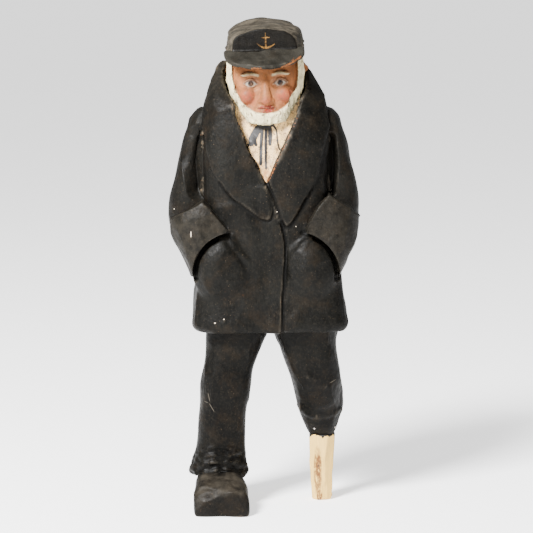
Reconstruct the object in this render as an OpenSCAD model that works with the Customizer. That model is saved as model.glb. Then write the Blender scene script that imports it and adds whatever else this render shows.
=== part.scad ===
// Carved and painted wooden figurine of an old seaman with one peg leg,
// built up from carved blocks that are glued and dowelled together.
// Millimetres. +Z is up, the figure faces -Y, and its right side is at -X.
// The origin is on the ground, under the middle of the figure.

/* [Figure] */
// Height of the coat's hem above the ground
leg_h = 75; // [65:1:90]
// Height from the hem up to the seat of the head
coat_h = 90; // [82:1:108]
// Height of the head block, from its seat up to the flat under the cap
head_h = 25; // [22:1:30]
// Forward tilt of the head, in degrees
head_tilt = 10; // [0:1:14]

/* [Coat] */
// Width of the coat at its hem
hem_w = 64; // [58:1:76]
// Width of the coat body between the two flats that the sleeves are glued to
chest_w = 52; // [43:1:63]
// Depth of the coat, front to back
coat_d = 44; // [38:1:54]
// Distance from the middle of the figure to the middle of the coat body
coat_x = 1.5; // [-2:0.5:3]
// Depth of the V opening that the shirt front is glued into
shirt_bed_d = 9; // [7:0.5:10]
// Height of the V opening
shirt_h = 28; // [22:1:34]
// Width of the V opening at its top
shirt_w = 26; // [20:1:28]
// How far the turned-up collar and its lapels stand out from the coat
collar_t = 1.4; // [0.6:0.1:2]

/* [Sleeves] */
// How far the right sleeve stands out from the coat's flat at the elbow
right_reach = 15.3; // [11:0.1:18]
// How far the left sleeve stands out from the coat's flat at the elbow
left_reach = 12.7; // [11:0.1:18]
// Height of the right elbow above the hem
right_elbow = 47; // [42:1:54]
// Height of the left elbow above the hem
left_elbow = 50; // [42:1:54]
// Radius of the curved sleeve end around the hand in its pocket
cuff_r = 18; // [15:0.5:22]

/* [Legs] */
// Width of the trouser leg at the knee
knee_w = 20.7; // [17:0.1:25]
// Height of the stump's end above the ground
stump_z = 28.5; // [20:0.5:36]
// Width across the stump at its end
stump_w = 12; // [11:0.5:15]
// Length of the shoe
shoe_l = 40; // [34:1:46]
// Width of the shoe
shoe_w = 22; // [18:0.5:26]
// Height of the shoe where the trouser leg stands on it
shoe_h = 14; // [11:0.5:18]

/* [Peg] */
// Width across the top of the whittled peg
peg_top_w = 11.2; // [10:0.1:12]
// Width across the tip of the whittled peg
peg_tip_w = 8; // [6:0.1:10]
// Diameter of the round tenon on the peg's top
tenon_d = 7; // [5:0.1:8.5]
// Length of the tenon
tenon_l = 14; // [8:0.5:18]
// Number of flats whittled around the peg
peg_sides = 8; // [6:1:12]

/* [Cap] */
// Diameter of the cap's band
band_d = 33.6; // [28:0.2:41]
// Height of the cap's band
band_h = 5.5; // [5:0.5:7]
// Height of the rounded crown above the band
crown_h = 7.5; // [5:0.5:10]
// Thickness of the visor
visor_t = 1.8; // [1.2:0.1:2.2]
// How far the visor stands out in front of the band
visor_out = 9; // [6:0.5:11]
// Downward slope of the visor, in degrees
visor_slope = 15; // [8:1:24]

/* [Dowels] */
// Diameter of the neck dowel
neck_dowel_d = 10; // [6:0.5:12]
// Diameter of the cap dowel
cap_dowel_d = 5; // [3:0.5:7]
// Diameter of the shoulder dowels
shoulder_dowel_d = 5; // [3:0.5:6]
// Diameter of the forearm dowels
forearm_dowel_d = 4; // [2.5:0.5:4.5]
// Diameter of the hip dowels
hip_dowel_d = 8; // [5:0.2:10]
// Diameter of the ankle dowel
ankle_dowel_d = 6; // [4:0.5:8]
// Diameter of the brads that pin the peg in the stump
brad_d = 0.9; // [0.7:0.1:1.4]

/* [Hidden] */
$fn = 48;

RIGHT = -1;
LEFT = 1;
BIG = 300;

// Levels
seat_z = leg_h + coat_h;
ledge_z = leg_h + 23;
pocket_z = leg_h + 25;
sleeve_top = seat_z + 3;

// The coat body between its sleeve flats
coat_y = 4;
front_y = coat_y - coat_d / 2;
chest_half = chest_w / 2;
bed_y = coat_y - 6;
cuff_in = 11.5;
pocket_in = 13;

// The head and what sits on it
head_x = 1;
neck_y = 4.6;
head_w = band_d - 1.6;
chin_y = -14.5;
head_room = 0.4;
ear_r = 4.2;
ear_t = 4;
shirt_back = chin_y + shirt_bed_d - 3.5;
neck_dowel_y = -1;
neck_dowel_l = 28;
cap_dowel_l = 14;
band_r = band_d / 2;
visor_root = 3.5;
visor_lip = 1;

// The legs
crotch_x = 4;
right_seam_x = -24;
left_seam_x = 32;
right_hip_x = -10;
left_hip_x = 18;
leg_gap = 0.3;
leg_y = 4;
right_ankle_x = -18;
left_peg_x = 24.8;
peg_y = 9.5;
shoe_x = -16.8;
heel_y = 13.5;
hip_dowel_l = 28;
ankle_dowel_l = 20;
shoulder_dowel_l = 15;
shoulder_dowel_z = seat_z - 17;
forearm_dowel_l = 13;
forearm_dowel_z = pocket_z + 19;
brad_l = 5.5;
brad_start = 1.2;
brad_z = stump_z + 3;
BRAD_TURNS = [-24, 57];

// Paint and bare wood
CHARCOAL = "#3a3835";
TROUSER_BLACK = "#302e2a";
SHIRT_CREAM = "#d9c3a5";
FLESH = "#cf9670";
CAP_BLACK = "#34322f";
BARE_WOOD = "#ead6b4";
DOWEL_WOOD = "#c9a878";
BRAD_STEEL = "#a9a59c";

// A superellipse ring is [height, centre x, centre y, half width, half depth, power].
function signed_power(v, e) = sign(v) * pow(abs(v), e);
function ring_point(r, a, grow) = [
    r[1] + (r[3] + grow) * signed_power(cos(a), 2 / r[5]),
    r[2] + (r[4] + grow) * signed_power(sin(a), 2 / r[5]),
    r[0]
];

// A closed solid through a stack of rings, lowest ring first.
module loft(rings, grow = 0, sides = 32) {
    last = (len(rings) - 1) * sides;
    points = [for (r = rings) for (i = [0:sides - 1]) ring_point(r, 360 * i / sides, grow)];
    floor_face = [[for (i = [0:sides - 1]) i]];
    roof_face = [[for (i = [sides - 1:-1:0]) last + i]];
    walls = [for (k = [0:len(rings) - 2]) for (i = [0:sides - 1])
        let (a = k * sides + i, b = k * sides + (i + 1) % sides)
        each [[a, a + sides, b + sides], [a, b + sides, b]]];
    polyhedron(points = points, faces = concat(floor_face, roof_face, walls));
}

// Everything on one side of the figure's sleeve flat, out to BIG.
module beyond_flat(side) {
    x = coat_x + side * chest_half;
    translate([side > 0 ? x : x - BIG, -BIG / 2, 0])
        cube([BIG, BIG, BIG]);
}

function reach(side) = side > 0 ? left_reach : right_reach;
function elbow_z(side) = leg_h + (side > 0 ? left_elbow : right_elbow);

// The crease line between upper sleeve and forearm, seen from the front: above it is upper sleeve.
function crease_in_z(side) = elbow_z(side) + 8.5;
function crease_out_z(side) = elbow_z(side) - 1;

// Front view of what belongs to the upper sleeve, as distances out from the coat's middle.
module sleeve_outline(side) {
    polygon([
        [side * chest_half, crease_in_z(side)],
        [side * (chest_half + reach(side)), crease_out_z(side)],
        [side * (chest_half + 3 * reach(side)), crease_out_z(side) - 2],
        [side * (chest_half + 3 * reach(side)), sleeve_top + 5],
        [side * chest_half, sleeve_top + 5]
    ]);
}

// Front view of what belongs to the forearm, down to the ledge on the coat.
module forearm_outline(side) {
    polygon([
        [side * (pocket_in + 3), pocket_z + cuff_r + 1],
        [side * chest_half, crease_in_z(side)],
        [side * (chest_half + reach(side)), crease_out_z(side)],
        [side * (chest_half + 3 * reach(side)), crease_out_z(side) - 2],
        [side * (chest_half + 3 * reach(side)), ledge_z],
        [side * pocket_in, ledge_z]
    ]);
}

module stand_up() {
    rotate([90, 0, 0])
        children();
}

// The round sleeve end, a cylinder that runs front to back round the pocket.
module cuff_cylinder(side) {
    translate([coat_x + side * pocket_in, BIG / 2, pocket_z])
        stand_up()
            cylinder(r = cuff_r, h = BIG);
}

// The space that a forearm block takes, in front of and beside the coat body.
module forearm_space(side) {
    difference() {
        translate([coat_x, BIG / 2, 0])
            stand_up()
                linear_extrude(height = BIG)
                    forearm_outline(side);
        translate([coat_x, 0, 0])
            linear_extrude(height = BIG)
                polygon([
                    [side * chest_half, BIG],
                    [side * chest_half, bed_y],
                    [side * cuff_in, front_y - 6],
                    [-side * BIG, front_y - 6],
                    [-side * BIG, BIG]
                ]);
        cuff_cylinder(side);
    }
}

// The space that an upper sleeve block takes, outside the coat's flat.
module sleeve_space(side) {
    intersection() {
        translate([coat_x, BIG / 2, 0])
            stand_up()
                linear_extrude(height = BIG)
                    sleeve_outline(side);
        beyond_flat(side);
    }
}

// Puts a child that is built in the head's own frame onto the neck.
module on_neck() {
    translate([head_x, neck_y, seat_z])
        rotate([head_tilt, 0, 0])
            children();
}

HEAD_RINGS = [
    [-1.2, 0, -14, 5, 5, 2],
    [-0.4, 0, -12, 9, 8, 2.1],
    [1.5, 0, -9.5, head_w / 2 - 5, 11.5, 2.2],
    [5, 0, -6.5, head_w / 2 - 3, 14.5, 2.3],
    [10, 0, -3, head_w / 2 - 0.5, 16.5, 2.4],
    [17, 0, -1, head_w / 2, 16.5, 2.3],
    [head_h, 0, 0, head_w / 2 - 0.5, 15.7, 2.2]
];

module head_shape(grow = 0) {
    on_neck()
        loft(HEAD_RINGS, grow);
}

module dowel(d, l) {
    cylinder(d = d, h = l, center = true);
}

module neck_dowel_place() {
    translate([head_x, neck_dowel_y, seat_z])
        dowel(neck_dowel_d, neck_dowel_l);
}

module cap_dowel_place() {
    on_neck()
        translate([0, 0, head_h])
            dowel(cap_dowel_d, cap_dowel_l);
}

module shoulder_dowel_place(side) {
    translate([coat_x + side * (chest_half - 2.5), coat_y + 1, shoulder_dowel_z])
        rotate([0, 90, 0])
            dowel(shoulder_dowel_d, shoulder_dowel_l);
}

// The forearm's glue face runs slantwise from the sleeve flat to the front of the coat.
bed_run = chest_half - cuff_in;
bed_rise = bed_y - (front_y - 6);
bed_turn = atan2(bed_rise, bed_run);

module forearm_dowel_place(side) {
    share = 0.25;
    x = coat_x + side * (chest_half - share * bed_run);
    translate([x, bed_y - share * bed_rise, forearm_dowel_z])
        rotate([0, 0, side * bed_turn])
            rotate([90, 0, 0])
                dowel(forearm_dowel_d, forearm_dowel_l);
}

module hip_dowel_place(side) {
    translate([side < 0 ? right_hip_x : left_hip_x, leg_y, leg_h])
        dowel(hip_dowel_d, hip_dowel_l);
}

module ankle_dowel_place() {
    translate([right_ankle_x, 1, shoe_h])
        dowel(ankle_dowel_d, ankle_dowel_l);
}

module brad_places() {
    for (turn = BRAD_TURNS)
        translate([left_peg_x, peg_y, brad_z])
            rotate([0, 0, turn])
                rotate([90, 0, 0])
                    translate([0, 0, brad_start])
                        cylinder(d = brad_d, h = brad_l);
}

module v_opening(depth) {
    translate([coat_x, shirt_back, 0])
        stand_up()
            linear_extrude(height = depth)
                polygon([
                    [-shirt_w / 2, seat_z],
                    [-0.5, seat_z - shirt_h],
                    [0.5, seat_z - shirt_h],
                    [shirt_w / 2, seat_z]
                ]);
}

module coat_shape(grow = 0) {
    loft([
        [leg_h, coat_x + 1.5, coat_y, hem_w / 2, coat_d / 2, 5],
        [leg_h + 5, coat_x + 1, coat_y, hem_w / 2 - 0.5, coat_d / 2, 5],
        [leg_h + 17, coat_x + 0.5, coat_y, hem_w / 2 - 1.5, coat_d / 2, 4.5],
        [ledge_z, coat_x, coat_y, hem_w / 2 - 2, coat_d / 2, 4.5],
        [ledge_z + 20, coat_x, coat_y, chest_half + 2, coat_d / 2 - 0.5, 4.5],
        [seat_z - 17, coat_x, coat_y, chest_half + 2, coat_d / 2 - 1.5, 4],
        [seat_z - 6, coat_x, coat_y, chest_half + 1, coat_d / 2 - 3, 3.5],
        [seat_z + 1, coat_x - 0.5, coat_y, chest_half, coat_d / 2 - 5, 3],
        [seat_z + 11, coat_x - 1.5, coat_y + 2, chest_half - 5.5, coat_d / 2 - 6, 2.5],
        [seat_z + 20, coat_x - 1.5, coat_y + 4, chest_half - 10.5, coat_d / 2 - 9, 2.3]
    ], grow);
}

// A dome over the hand in its pocket, which stands a little out of the coat's front.
module pocket_bulge(side) {
    dome_d = front_y + 12;
    translate([coat_x + side * (pocket_in + 5.5), dome_d, pocket_z + 2])
        stand_up()
            loft([
                [0, 0, 0, 11, 14, 2.2],
                [10, 0, 0, 11, 14, 2.2],
                [12, 0, 0, 9, 12, 2.1],
                [13, 0, 0, 5, 7, 2]
            ]);
}

// Half of the front view of collar and lapels, as distances out from the coat's middle and up from the seat.
COLLAR_HALF = [
    [0, 40],
    [chest_half + 4, 40],
    [chest_half + 4, 3],
    [chest_half - 0.6, -3],
    [chest_half - 2.6, -13],
    [chest_half - 4.5, 5 - shirt_h],
    [chest_half - 10.5, -4 - shirt_h],
    [5, -12 - shirt_h],
    [0, -9 - shirt_h]
];
COLLAR_OUTLINE = concat(
    COLLAR_HALF,
    [for (i = [len(COLLAR_HALF) - 1:-1:0]) [-COLLAR_HALF[i][0], COLLAR_HALF[i][1]]]
);

// The thick collar that is turned up round the head, and its lapels.
module collar() {
    intersection() {
        coat_shape(collar_t);
        union() {
            translate([coat_x, coat_y, seat_z])
                stand_up()
                    linear_extrude(height = BIG)
                        polygon(COLLAR_OUTLINE);
            translate([-BIG / 2, coat_y - 1, seat_z - 4])
                cube([BIG, BIG, BIG]);
        }
    }
}

// The plane that the collar's top edge lies in, low in front and high behind the head.
module above_collar() {
    translate([0, chin_y - 1.5, seat_z - 1])
        rotate([33, 0, 0])
            translate([-BIG / 2, -BIG / 2, 0])
                cube([BIG, BIG, BIG]);
}

module coat_body() {
    color(CHARCOAL)
        difference() {
            union() {
                coat_shape();
                collar();
                pocket_bulge(RIGHT);
                pocket_bulge(LEFT);
            }
            for (side = [RIGHT, LEFT]) {
                sleeve_space(side);
                forearm_space(side);
                shoulder_dowel_place(side);
                forearm_dowel_place(side);
                hip_dowel_place(side);
            }
            v_opening(BIG);
            above_collar();
            head_space();
            neck_dowel_place();
        }
}

// Where the head block sits: its own shape with a little room, above its seat and in front of the shirt.
module head_space() {
    difference() {
        union() {
            head_shape(head_room);
            ear(RIGHT, head_room);
            ear(LEFT, head_room);
        }
        below_seat();
    }
}

module below_seat() {
    translate([-BIG / 2, chin_y, seat_z - BIG])
        cube([BIG, BIG, BIG]);
}

module shirt_front() {
    color(SHIRT_CREAM)
        difference() {
            v_opening(shirt_back - chin_y);
            neck_dowel_place();
        }
}

module upper_sleeve(side) {
    x = coat_x + side * chest_half;
    out = reach(side);
    color(CHARCOAL)
        difference() {
            intersection() {
                loft([
                    [elbow_z(side) - 10, x + side * 3, 5, out - 3.5, 12, 2.6],
                    [elbow_z(side), x + side * 3, 5, out - 3, 13, 2.6],
                    [elbow_z(side) + 10, x + side * 2, 5, out - 2.6, 13, 2.6],
                    [seat_z - 27, x + side * 1.5, 5, out - 4, 12.5, 2.5],
                    [seat_z - 12, x, 5, out - 6, 12, 2.5],
                    [seat_z - 4, x, 5, out - 8, 10.5, 2.3],
                    [sleeve_top, x, 5, 1, 8, 2]
                ]);
                sleeve_space(side);
            }
            shoulder_dowel_place(side);
        }
}

module forearm(side) {
    x = coat_x + side * chest_half;
    out = reach(side);
    color(CHARCOAL)
        difference() {
            intersection() {
                loft([
                    [ledge_z - 5, x + side * (out - 19), -13, 7, 8, 2.2],
                    [ledge_z + 1, x + side * (out - 20), -12, 10, 10, 2.4],
                    [ledge_z + 8, x + side * (out - 20), -9, 14.5, 13.5, 2.6],
                    [ledge_z + 16, x + side * (out - 19), -5.5, 18, 16.5, 2.8],
                    [elbow_z(side), x + side * (out - 18), -4, 18, 17.5, 2.8],
                    [elbow_z(side) + 12, x + side * (out - 20), -3, 18, 15.5, 2.6]
                ]);
                forearm_space(side);
            }
            forearm_dowel_place(side);
        }
}

// Ears lie flat against the head. Their discs are sunk into its sides.
module ear(side, grow = 0) {
    on_neck()
        translate([side * (head_w / 2 - 1), 4, 17])
            rotate([0, 90, 0])
                cylinder(r = ear_r + grow, h = ear_t + 2 * grow, center = true);
}

module nose() {
    on_neck()
        translate([0, -14, 6.5])
            loft([
                [0, 0, 0, 2, 5, 2],
                [2.5, 0, 0, 2.6, 6.5, 2],
                [9, 0, 0, 1.4, 3, 2]
            ], 0, 16);
}

module head() {
    color(FLESH)
        difference() {
            union() {
                head_shape();
                nose();
                ear(RIGHT);
                ear(LEFT);
            }
            below_seat();
            neck_dowel_place();
            cap_dowel_place();
        }
}

// A crescent plate whose root is let into a kerf in the cap's band.
module visor_plate() {
    top_of_slope = band_r - 0.7;
    on_neck()
        translate([0, -top_of_slope, head_h + visor_lip])
            rotate([visor_slope, 0, 0])
                linear_extrude(height = visor_t)
                    translate([0, top_of_slope])
                        intersection() {
                            difference() {
                                translate([0, -visor_out])
                                    circle(r = band_r + 0.2);
                                circle(r = band_r - visor_root);
                            }
                            translate([-BIG / 2, -BIG])
                                square([BIG, BIG - 2]);
                        }
}

module cap() {
    color(CAP_BLACK)
        difference() {
            on_neck()
                translate([0, 0, head_h])
                    union() {
                        cylinder(r = band_r, h = band_h);
                        loft([
                            [band_h - 1, 0, 0, band_r - 1, band_r - 1, 2],
                            [band_h, 0, 0, band_r - 0.2, band_r - 0.2, 2],
                            [band_h + crown_h * 0.3, 0, 0, band_r - 2, band_r - 1.4, 2.2],
                            [band_h + crown_h * 0.62, 0, 0, band_r - 4.5, band_r - 3.5, 2.2],
                            [band_h + crown_h * 0.88, 0, 1, band_r - 8, band_r - 7, 2.1],
                            [band_h + crown_h, 0, 1, band_r - 12, band_r - 11, 2]
                        ]);
                    }
            visor_plate();
            cap_dowel_place();
        }
}

module cap_visor() {
    color(CAP_BLACK)
        visor_plate();
}

module right_trouser_leg() {
    knee_z = leg_h * 0.64;
    top_half = (crotch_x - leg_gap / 2 - right_seam_x) / 2;
    color(TROUSER_BLACK)
        difference() {
            loft([
                [shoe_h, right_ankle_x - 0.6, 1, 12, 13, 2.6],
                [shoe_h + 5, right_ankle_x - 0.3, 1.5, 10.6, 12, 2.6],
                [shoe_h + 14, right_ankle_x, 2, knee_w / 2 - 0.8, 11.5, 2.8],
                [knee_z - 10, right_ankle_x + 1.2, 2, knee_w / 2 - 0.7, 12, 2.8],
                [knee_z, right_ankle_x + 2.2, 2, knee_w / 2, 13, 2.8],
                [leg_h - 14, right_ankle_x + 4, 3, knee_w / 2 + 0.4, 14, 3],
                [leg_h - 6, right_ankle_x + 6.2, leg_y, 12, 15, 3],
                [leg_h, right_seam_x + top_half, leg_y, top_half, 16, 3.2]
            ]);
            hip_dowel_place(RIGHT);
            ankle_dowel_place();
        }
}

module left_trouser_leg() {
    knee_z = leg_h * 0.64;
    top_half = (left_seam_x - crotch_x - leg_gap / 2) / 2;
    color(TROUSER_BLACK)
        difference() {
            loft([
                [stump_z, left_peg_x, peg_y, stump_w / 2, stump_w / 2, 2.2],
                [stump_z + 11, left_peg_x - 0.3, peg_y - 2, knee_w / 2 - 1.6, 10, 2.4],
                [knee_z, left_peg_x - 1.2, leg_y + 1, knee_w / 2, 12.5, 2.6],
                [leg_h - 14, left_peg_x - 3.6, leg_y, knee_w / 2 + 0.6, 13.5, 2.8],
                [leg_h - 6, left_peg_x - 5.9, leg_y, 12, 14.5, 3],
                [leg_h, left_seam_x - top_half, leg_y, top_half, 16, 3.2]
            ]);
            hip_dowel_place(LEFT);
            peg_tenon();
            brad_places();
        }
}

module right_shoe() {
    toe_y = heel_y - shoe_l;
    mid_y = (heel_y + toe_y) / 2;
    half_l = shoe_l / 2;
    color(CAP_BLACK)
        difference() {
            loft([
                [0, shoe_x, mid_y, shoe_w / 2 - 0.6, half_l - 0.8, 3],
                [1.5, shoe_x, mid_y, shoe_w / 2, half_l, 3],
                [shoe_h * 0.5, shoe_x, mid_y + 0.5, shoe_w / 2, half_l - 0.8, 2.8],
                [shoe_h * 0.75, shoe_x - 0.4, mid_y + 4, shoe_w / 2 - 0.6, half_l - 4.5, 2.6],
                [shoe_h, right_ankle_x, mid_y + 7, shoe_w / 2 - 1.4, half_l - 8, 2.4]
            ]);
            ankle_dowel_place();
        }
}

module peg_tenon() {
    translate([left_peg_x, peg_y, stump_z])
        cylinder(d = tenon_d, h = tenon_l);
}

module peg() {
    color(BARE_WOOD)
        difference() {
            union() {
                translate([left_peg_x, peg_y, 0])
                    rotate([0, 0, 180 / peg_sides])
                        cylinder(d1 = peg_tip_w, d2 = peg_top_w, h = stump_z, $fn = peg_sides);
                peg_tenon();
            }
            brad_places();
        }
}

module wooden_dowel() {
    color(DOWEL_WOOD)
        children();
}

coat_body();
shirt_front();
upper_sleeve(RIGHT);  // right_upper_sleeve
upper_sleeve(LEFT);  // left_upper_sleeve
forearm(RIGHT);  // right_forearm
forearm(LEFT);  // left_forearm
head();
cap();
cap_visor();
right_trouser_leg();
left_trouser_leg();
right_shoe();
peg();
wooden_dowel() neck_dowel_place();  // neck_dowel
wooden_dowel() cap_dowel_place();  // cap_dowel
wooden_dowel() shoulder_dowel_place(RIGHT);  // right_shoulder_dowel
wooden_dowel() shoulder_dowel_place(LEFT);  // left_shoulder_dowel
wooden_dowel() forearm_dowel_place(RIGHT);  // right_forearm_dowel
wooden_dowel() forearm_dowel_place(LEFT);  // left_forearm_dowel
wooden_dowel() hip_dowel_place(RIGHT);  // right_hip_dowel
wooden_dowel() hip_dowel_place(LEFT);  // left_hip_dowel
wooden_dowel() ankle_dowel_place();  // ankle_dowel
color(BRAD_STEEL) brad_places();  // peg_brads
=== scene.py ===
"""A carved and brush-painted wooden seaman with one peg leg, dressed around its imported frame.

Blocks are made in millimetres, carved, and then scaled to metres. The figure faces -Y.
"""

import math

import bmesh
import bpy
import numpy as np
from mathutils import Matrix, Vector
from mathutils.bvhtree import BVHTree


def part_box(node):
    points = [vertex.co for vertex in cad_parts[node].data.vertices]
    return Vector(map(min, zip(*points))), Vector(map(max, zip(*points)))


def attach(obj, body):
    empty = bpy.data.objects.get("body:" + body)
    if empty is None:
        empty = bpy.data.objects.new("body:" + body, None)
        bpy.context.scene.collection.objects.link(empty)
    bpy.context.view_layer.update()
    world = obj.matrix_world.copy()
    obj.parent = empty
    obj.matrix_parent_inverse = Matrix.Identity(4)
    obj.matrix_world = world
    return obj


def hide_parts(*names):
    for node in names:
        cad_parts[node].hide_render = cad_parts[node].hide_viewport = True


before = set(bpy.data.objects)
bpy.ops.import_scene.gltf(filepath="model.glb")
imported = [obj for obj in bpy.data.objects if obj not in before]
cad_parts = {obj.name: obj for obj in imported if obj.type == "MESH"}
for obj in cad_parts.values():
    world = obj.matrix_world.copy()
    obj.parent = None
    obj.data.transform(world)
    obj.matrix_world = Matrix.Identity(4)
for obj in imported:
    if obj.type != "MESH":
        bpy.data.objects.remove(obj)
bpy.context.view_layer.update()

MM = 0.001
UP = np.array([0.0, 0.0, 1.0])
FRONT = np.array([0.0, -1.0, 0.0])
RIGHT = -1
LEFT = 1


# ---------------------------------------------------------------- places taken from the frame

def box_mm(node):
    low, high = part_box(node)
    return Vector(low) / MM, Vector(high) / MM


shirt_low, shirt_high = box_mm("shirt_front")
shoe_low, shoe_high = box_mm("right_shoe")
peg_low, peg_high = box_mm("peg")
dowel_low, dowel_high = box_mm("neck_dowel")

MID_X = (shirt_low.x + shirt_high.x) / 2    # middle of the coat and of its V opening
HEM_Z = box_mm("coat_body")[0].z
SEAT_Z = shirt_high.z                       # where the neck stands on the coat
V_BOTTOM_Z = shirt_low.z
COAT_Y = 4.0
CHEST_HALF = 26.0
FRONT_Y = -18.0                             # front of the coat's skirt
HEAD_X = (dowel_low.x + dowel_high.x) / 2
NECK_Y = 4.6
HEAD_TILT = math.radians(10)
HEAD_ROLL = math.radians(-2.5)
HEAD_H = 25.0                               # chin to cap band, in the head's own frame
POCKET_Z = HEM_Z + 25
POCKET_IN = 13.0                            # pocket's middle, out from MID_X
CUFF_R = 18.0
PEG_X = (peg_low.x + peg_high.x) / 2
PEG_Y = (peg_low.y + peg_high.y) / 2
STUMP_Z = box_mm("left_trouser_leg")[0].z
TURN_UP_Z = box_mm("right_trouser_leg")[0].z
SHOE_X = (shoe_low.x + shoe_high.x) / 2
ANKLE_X = SHOE_X - 1.2


def outer_x(node, side):
    low, high = box_mm(node)
    return high.x if side > 0 else low.x


def flat_x(side):
    """The flat on the coat's side that an arm is glued to."""
    return MID_X + side * CHEST_HALF


# ---------------------------------------------------------------- blocks

def flowing(rings, step=1.5):
    """Fills a stack of rings up with more of them, on smooth curves through the given ones."""
    rows = np.array(rings, float)
    z, rest = rows[:, 0], rows[:, 1:]
    slope = np.gradient(rest, z, axis=0)
    levels = np.unique(np.concatenate([z, np.arange(z[0], z[-1], step)]))
    filled = []
    for level in levels:
        k = min(np.searchsorted(z, level, side="right") - 1, len(z) - 2)
        gap = z[k + 1] - z[k]
        t = (level - z[k]) / gap
        ease = (2 * t ** 3 - 3 * t ** 2 + 1, t ** 3 - 2 * t ** 2 + t,
                3 * t ** 2 - 2 * t ** 3, t ** 3 - t ** 2)
        values = (ease[0] * rest[k] + ease[1] * gap * slope[k]
                  + ease[2] * rest[k + 1] + ease[3] * gap * slope[k + 1])
        filled.append([level, *values])
    return filled


def stack(bm, rings, sides=48, smooth=True, place=Matrix()):
    """Bridges superellipse rings (height, x, y, half width, half depth, squareness) into a closed block."""
    loops = []
    verts = []
    for z, x, y, half_w, half_d, square in (flowing(rings) if smooth else rings):
        ring = bmesh.ops.create_circle(bm, cap_ends=False, segments=sides, radius=1)["verts"]
        for v in ring:
            px = math.copysign(abs(v.co.x) ** (2 / square), v.co.x)
            py = math.copysign(abs(v.co.y) ** (2 / square), v.co.y)
            v.co = (x + half_w * px, y + half_d * py, z)
        loops.append(list({e for v in ring for e in v.link_edges}))
        verts += ring
    for low, high in zip(loops, loops[1:]):
        bmesh.ops.bridge_loops(bm, edges=low + high)
    bmesh.ops.contextual_create(bm, geom=loops[0])
    bmesh.ops.contextual_create(bm, geom=loops[-1])
    bmesh.ops.transform(bm, matrix=place, verts=verts)


def ball(bm, centre, radii):
    """An egg of wood, for cheeks, pockets and noses."""
    verts = bmesh.ops.create_icosphere(bm, subdivisions=4, radius=1)["verts"]
    bmesh.ops.transform(bm, matrix=Matrix.Translation(centre) @ Matrix.Diagonal((*radii, 1)), verts=verts)


def to_object(name, bm):
    bmesh.ops.recalc_face_normals(bm, faces=bm.faces)
    mesh = bpy.data.meshes.new(name)
    bm.to_mesh(mesh)
    bm.free()
    ob = bpy.data.objects.new(name, mesh)
    bpy.context.collection.objects.link(ob)
    return ob


def cut_and_fused(name, bm, voxel, cutters=()):
    """Makes overlapping blocks one skin of even little quads, less the spaces of the cutters."""
    ob = to_object(name, bm)

    def melt():
        remesh = ob.modifiers.new("fuse", "REMESH")
        remesh.mode = "VOXEL"
        remesh.voxel_size = voxel

    melt()
    for cutter in cutters:
        cut = ob.modifiers.new("cut", "BOOLEAN")
        cut.operation = "DIFFERENCE"
        cut.solver = "MANIFOLD"
        cut.object = cutter
    if cutters:
        melt()
    ready = ob.evaluated_get(bpy.context.evaluated_depsgraph_get())
    mesh = bpy.data.meshes.new_from_object(ready)
    ob.modifiers.clear()
    rough = ob.data
    ob.data = mesh
    bpy.data.meshes.remove(rough)
    mesh.name = name
    for cutter in cutters:
        bpy.data.objects.remove(cutter)
    return ob


def prism(name, outline, low_y, high_y):
    """A cutter with the given front view, from low_y to high_y."""
    bm = bmesh.new()
    verts = [bm.verts.new((x, low_y, z)) for x, z in outline]
    face = bm.faces.new(verts)
    grown_out = bmesh.ops.extrude_face_region(bm, geom=[face])["geom"]
    far = [g for g in grown_out if isinstance(g, bmesh.types.BMVert)]
    bmesh.ops.translate(bm, vec=(0, high_y - low_y, 0), verts=far)
    return to_object(name, bm)


def slab(name, low, high):
    """A box cutter between two corners."""
    low, high = Vector(low), Vector(high)
    bm = bmesh.new()
    middle = Matrix.Translation((low + high) / 2)
    bmesh.ops.create_cube(bm, size=1, matrix=middle @ Matrix.Diagonal((*(high - low), 1)))
    return to_object(name, bm)


def ring_cutter(name, rings, sides, place=Matrix()):
    bm = bmesh.new()
    stack(bm, rings, sides=sides, place=place)
    return to_object(name, bm)


# ---------------------------------------------------------------- carving

DEEPEST = 0.8


class Skin:
    """The points of a block's surface, which the cuts move."""

    def __init__(self, ob):
        self.mesh = ob.data
        self.count = len(self.mesh.vertices)
        co = np.empty(self.count * 3)
        self.mesh.vertices.foreach_get("co", co)
        self.co = co.reshape(-1, 3)
        ends = np.empty(len(self.mesh.edges) * 2, int)
        self.mesh.edges.foreach_get("vertices", ends)
        self.a, self.b = ends[::2], ends[1::2]
        self.degree = np.bincount(ends, minlength=self.count)
        self.refresh()

    def refresh(self):
        self.mesh.vertices.foreach_set("co", self.co.ravel())
        self.mesh.update()
        no = np.empty(self.count * 3)
        self.mesh.vertex_normals.foreach_get("vector", no)
        self.no = no.reshape(-1, 3)

    def neighbour_mean(self, values):
        flat = values.reshape(self.count, -1)
        total = np.stack([
            np.bincount(self.a, weights=flat[self.b, k], minlength=self.count)
            + np.bincount(self.b, weights=flat[self.a, k], minlength=self.count)
            for k in range(flat.shape[1])
        ], axis=1)
        return (total / self.degree[:, None]).reshape(values.shape)

    def blurred(self, values, times):
        for _ in range(times):
            values = 0.4 * values + 0.6 * self.neighbour_mean(values)
        return values

    def soften(self, times):
        self.co = self.blurred(self.co, times)
        self.refresh()

    def push(self, amount):
        """Moves each point out along its normal."""
        self.co = self.co + self.no * amount[:, None]
        self.refresh()

    def relief(self, times):
        """How far each point stands out of its surroundings, in millimetres."""
        return np.einsum("ij,ij->i", self.co - self.blurred(self.co, times), self.no)

    def write(self, name, values):
        kind = "FLOAT" if values.ndim == 1 else "FLOAT_COLOR"
        made = self.mesh.attributes.new(name, kind, "POINT")
        if kind == "FLOAT":
            made.data.foreach_set("value", values.astype(np.float32))
        else:
            rgba = np.hstack([values, np.ones((self.count, 1))])
            made.data.foreach_set("color", rgba.astype(np.float32).ravel())


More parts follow.
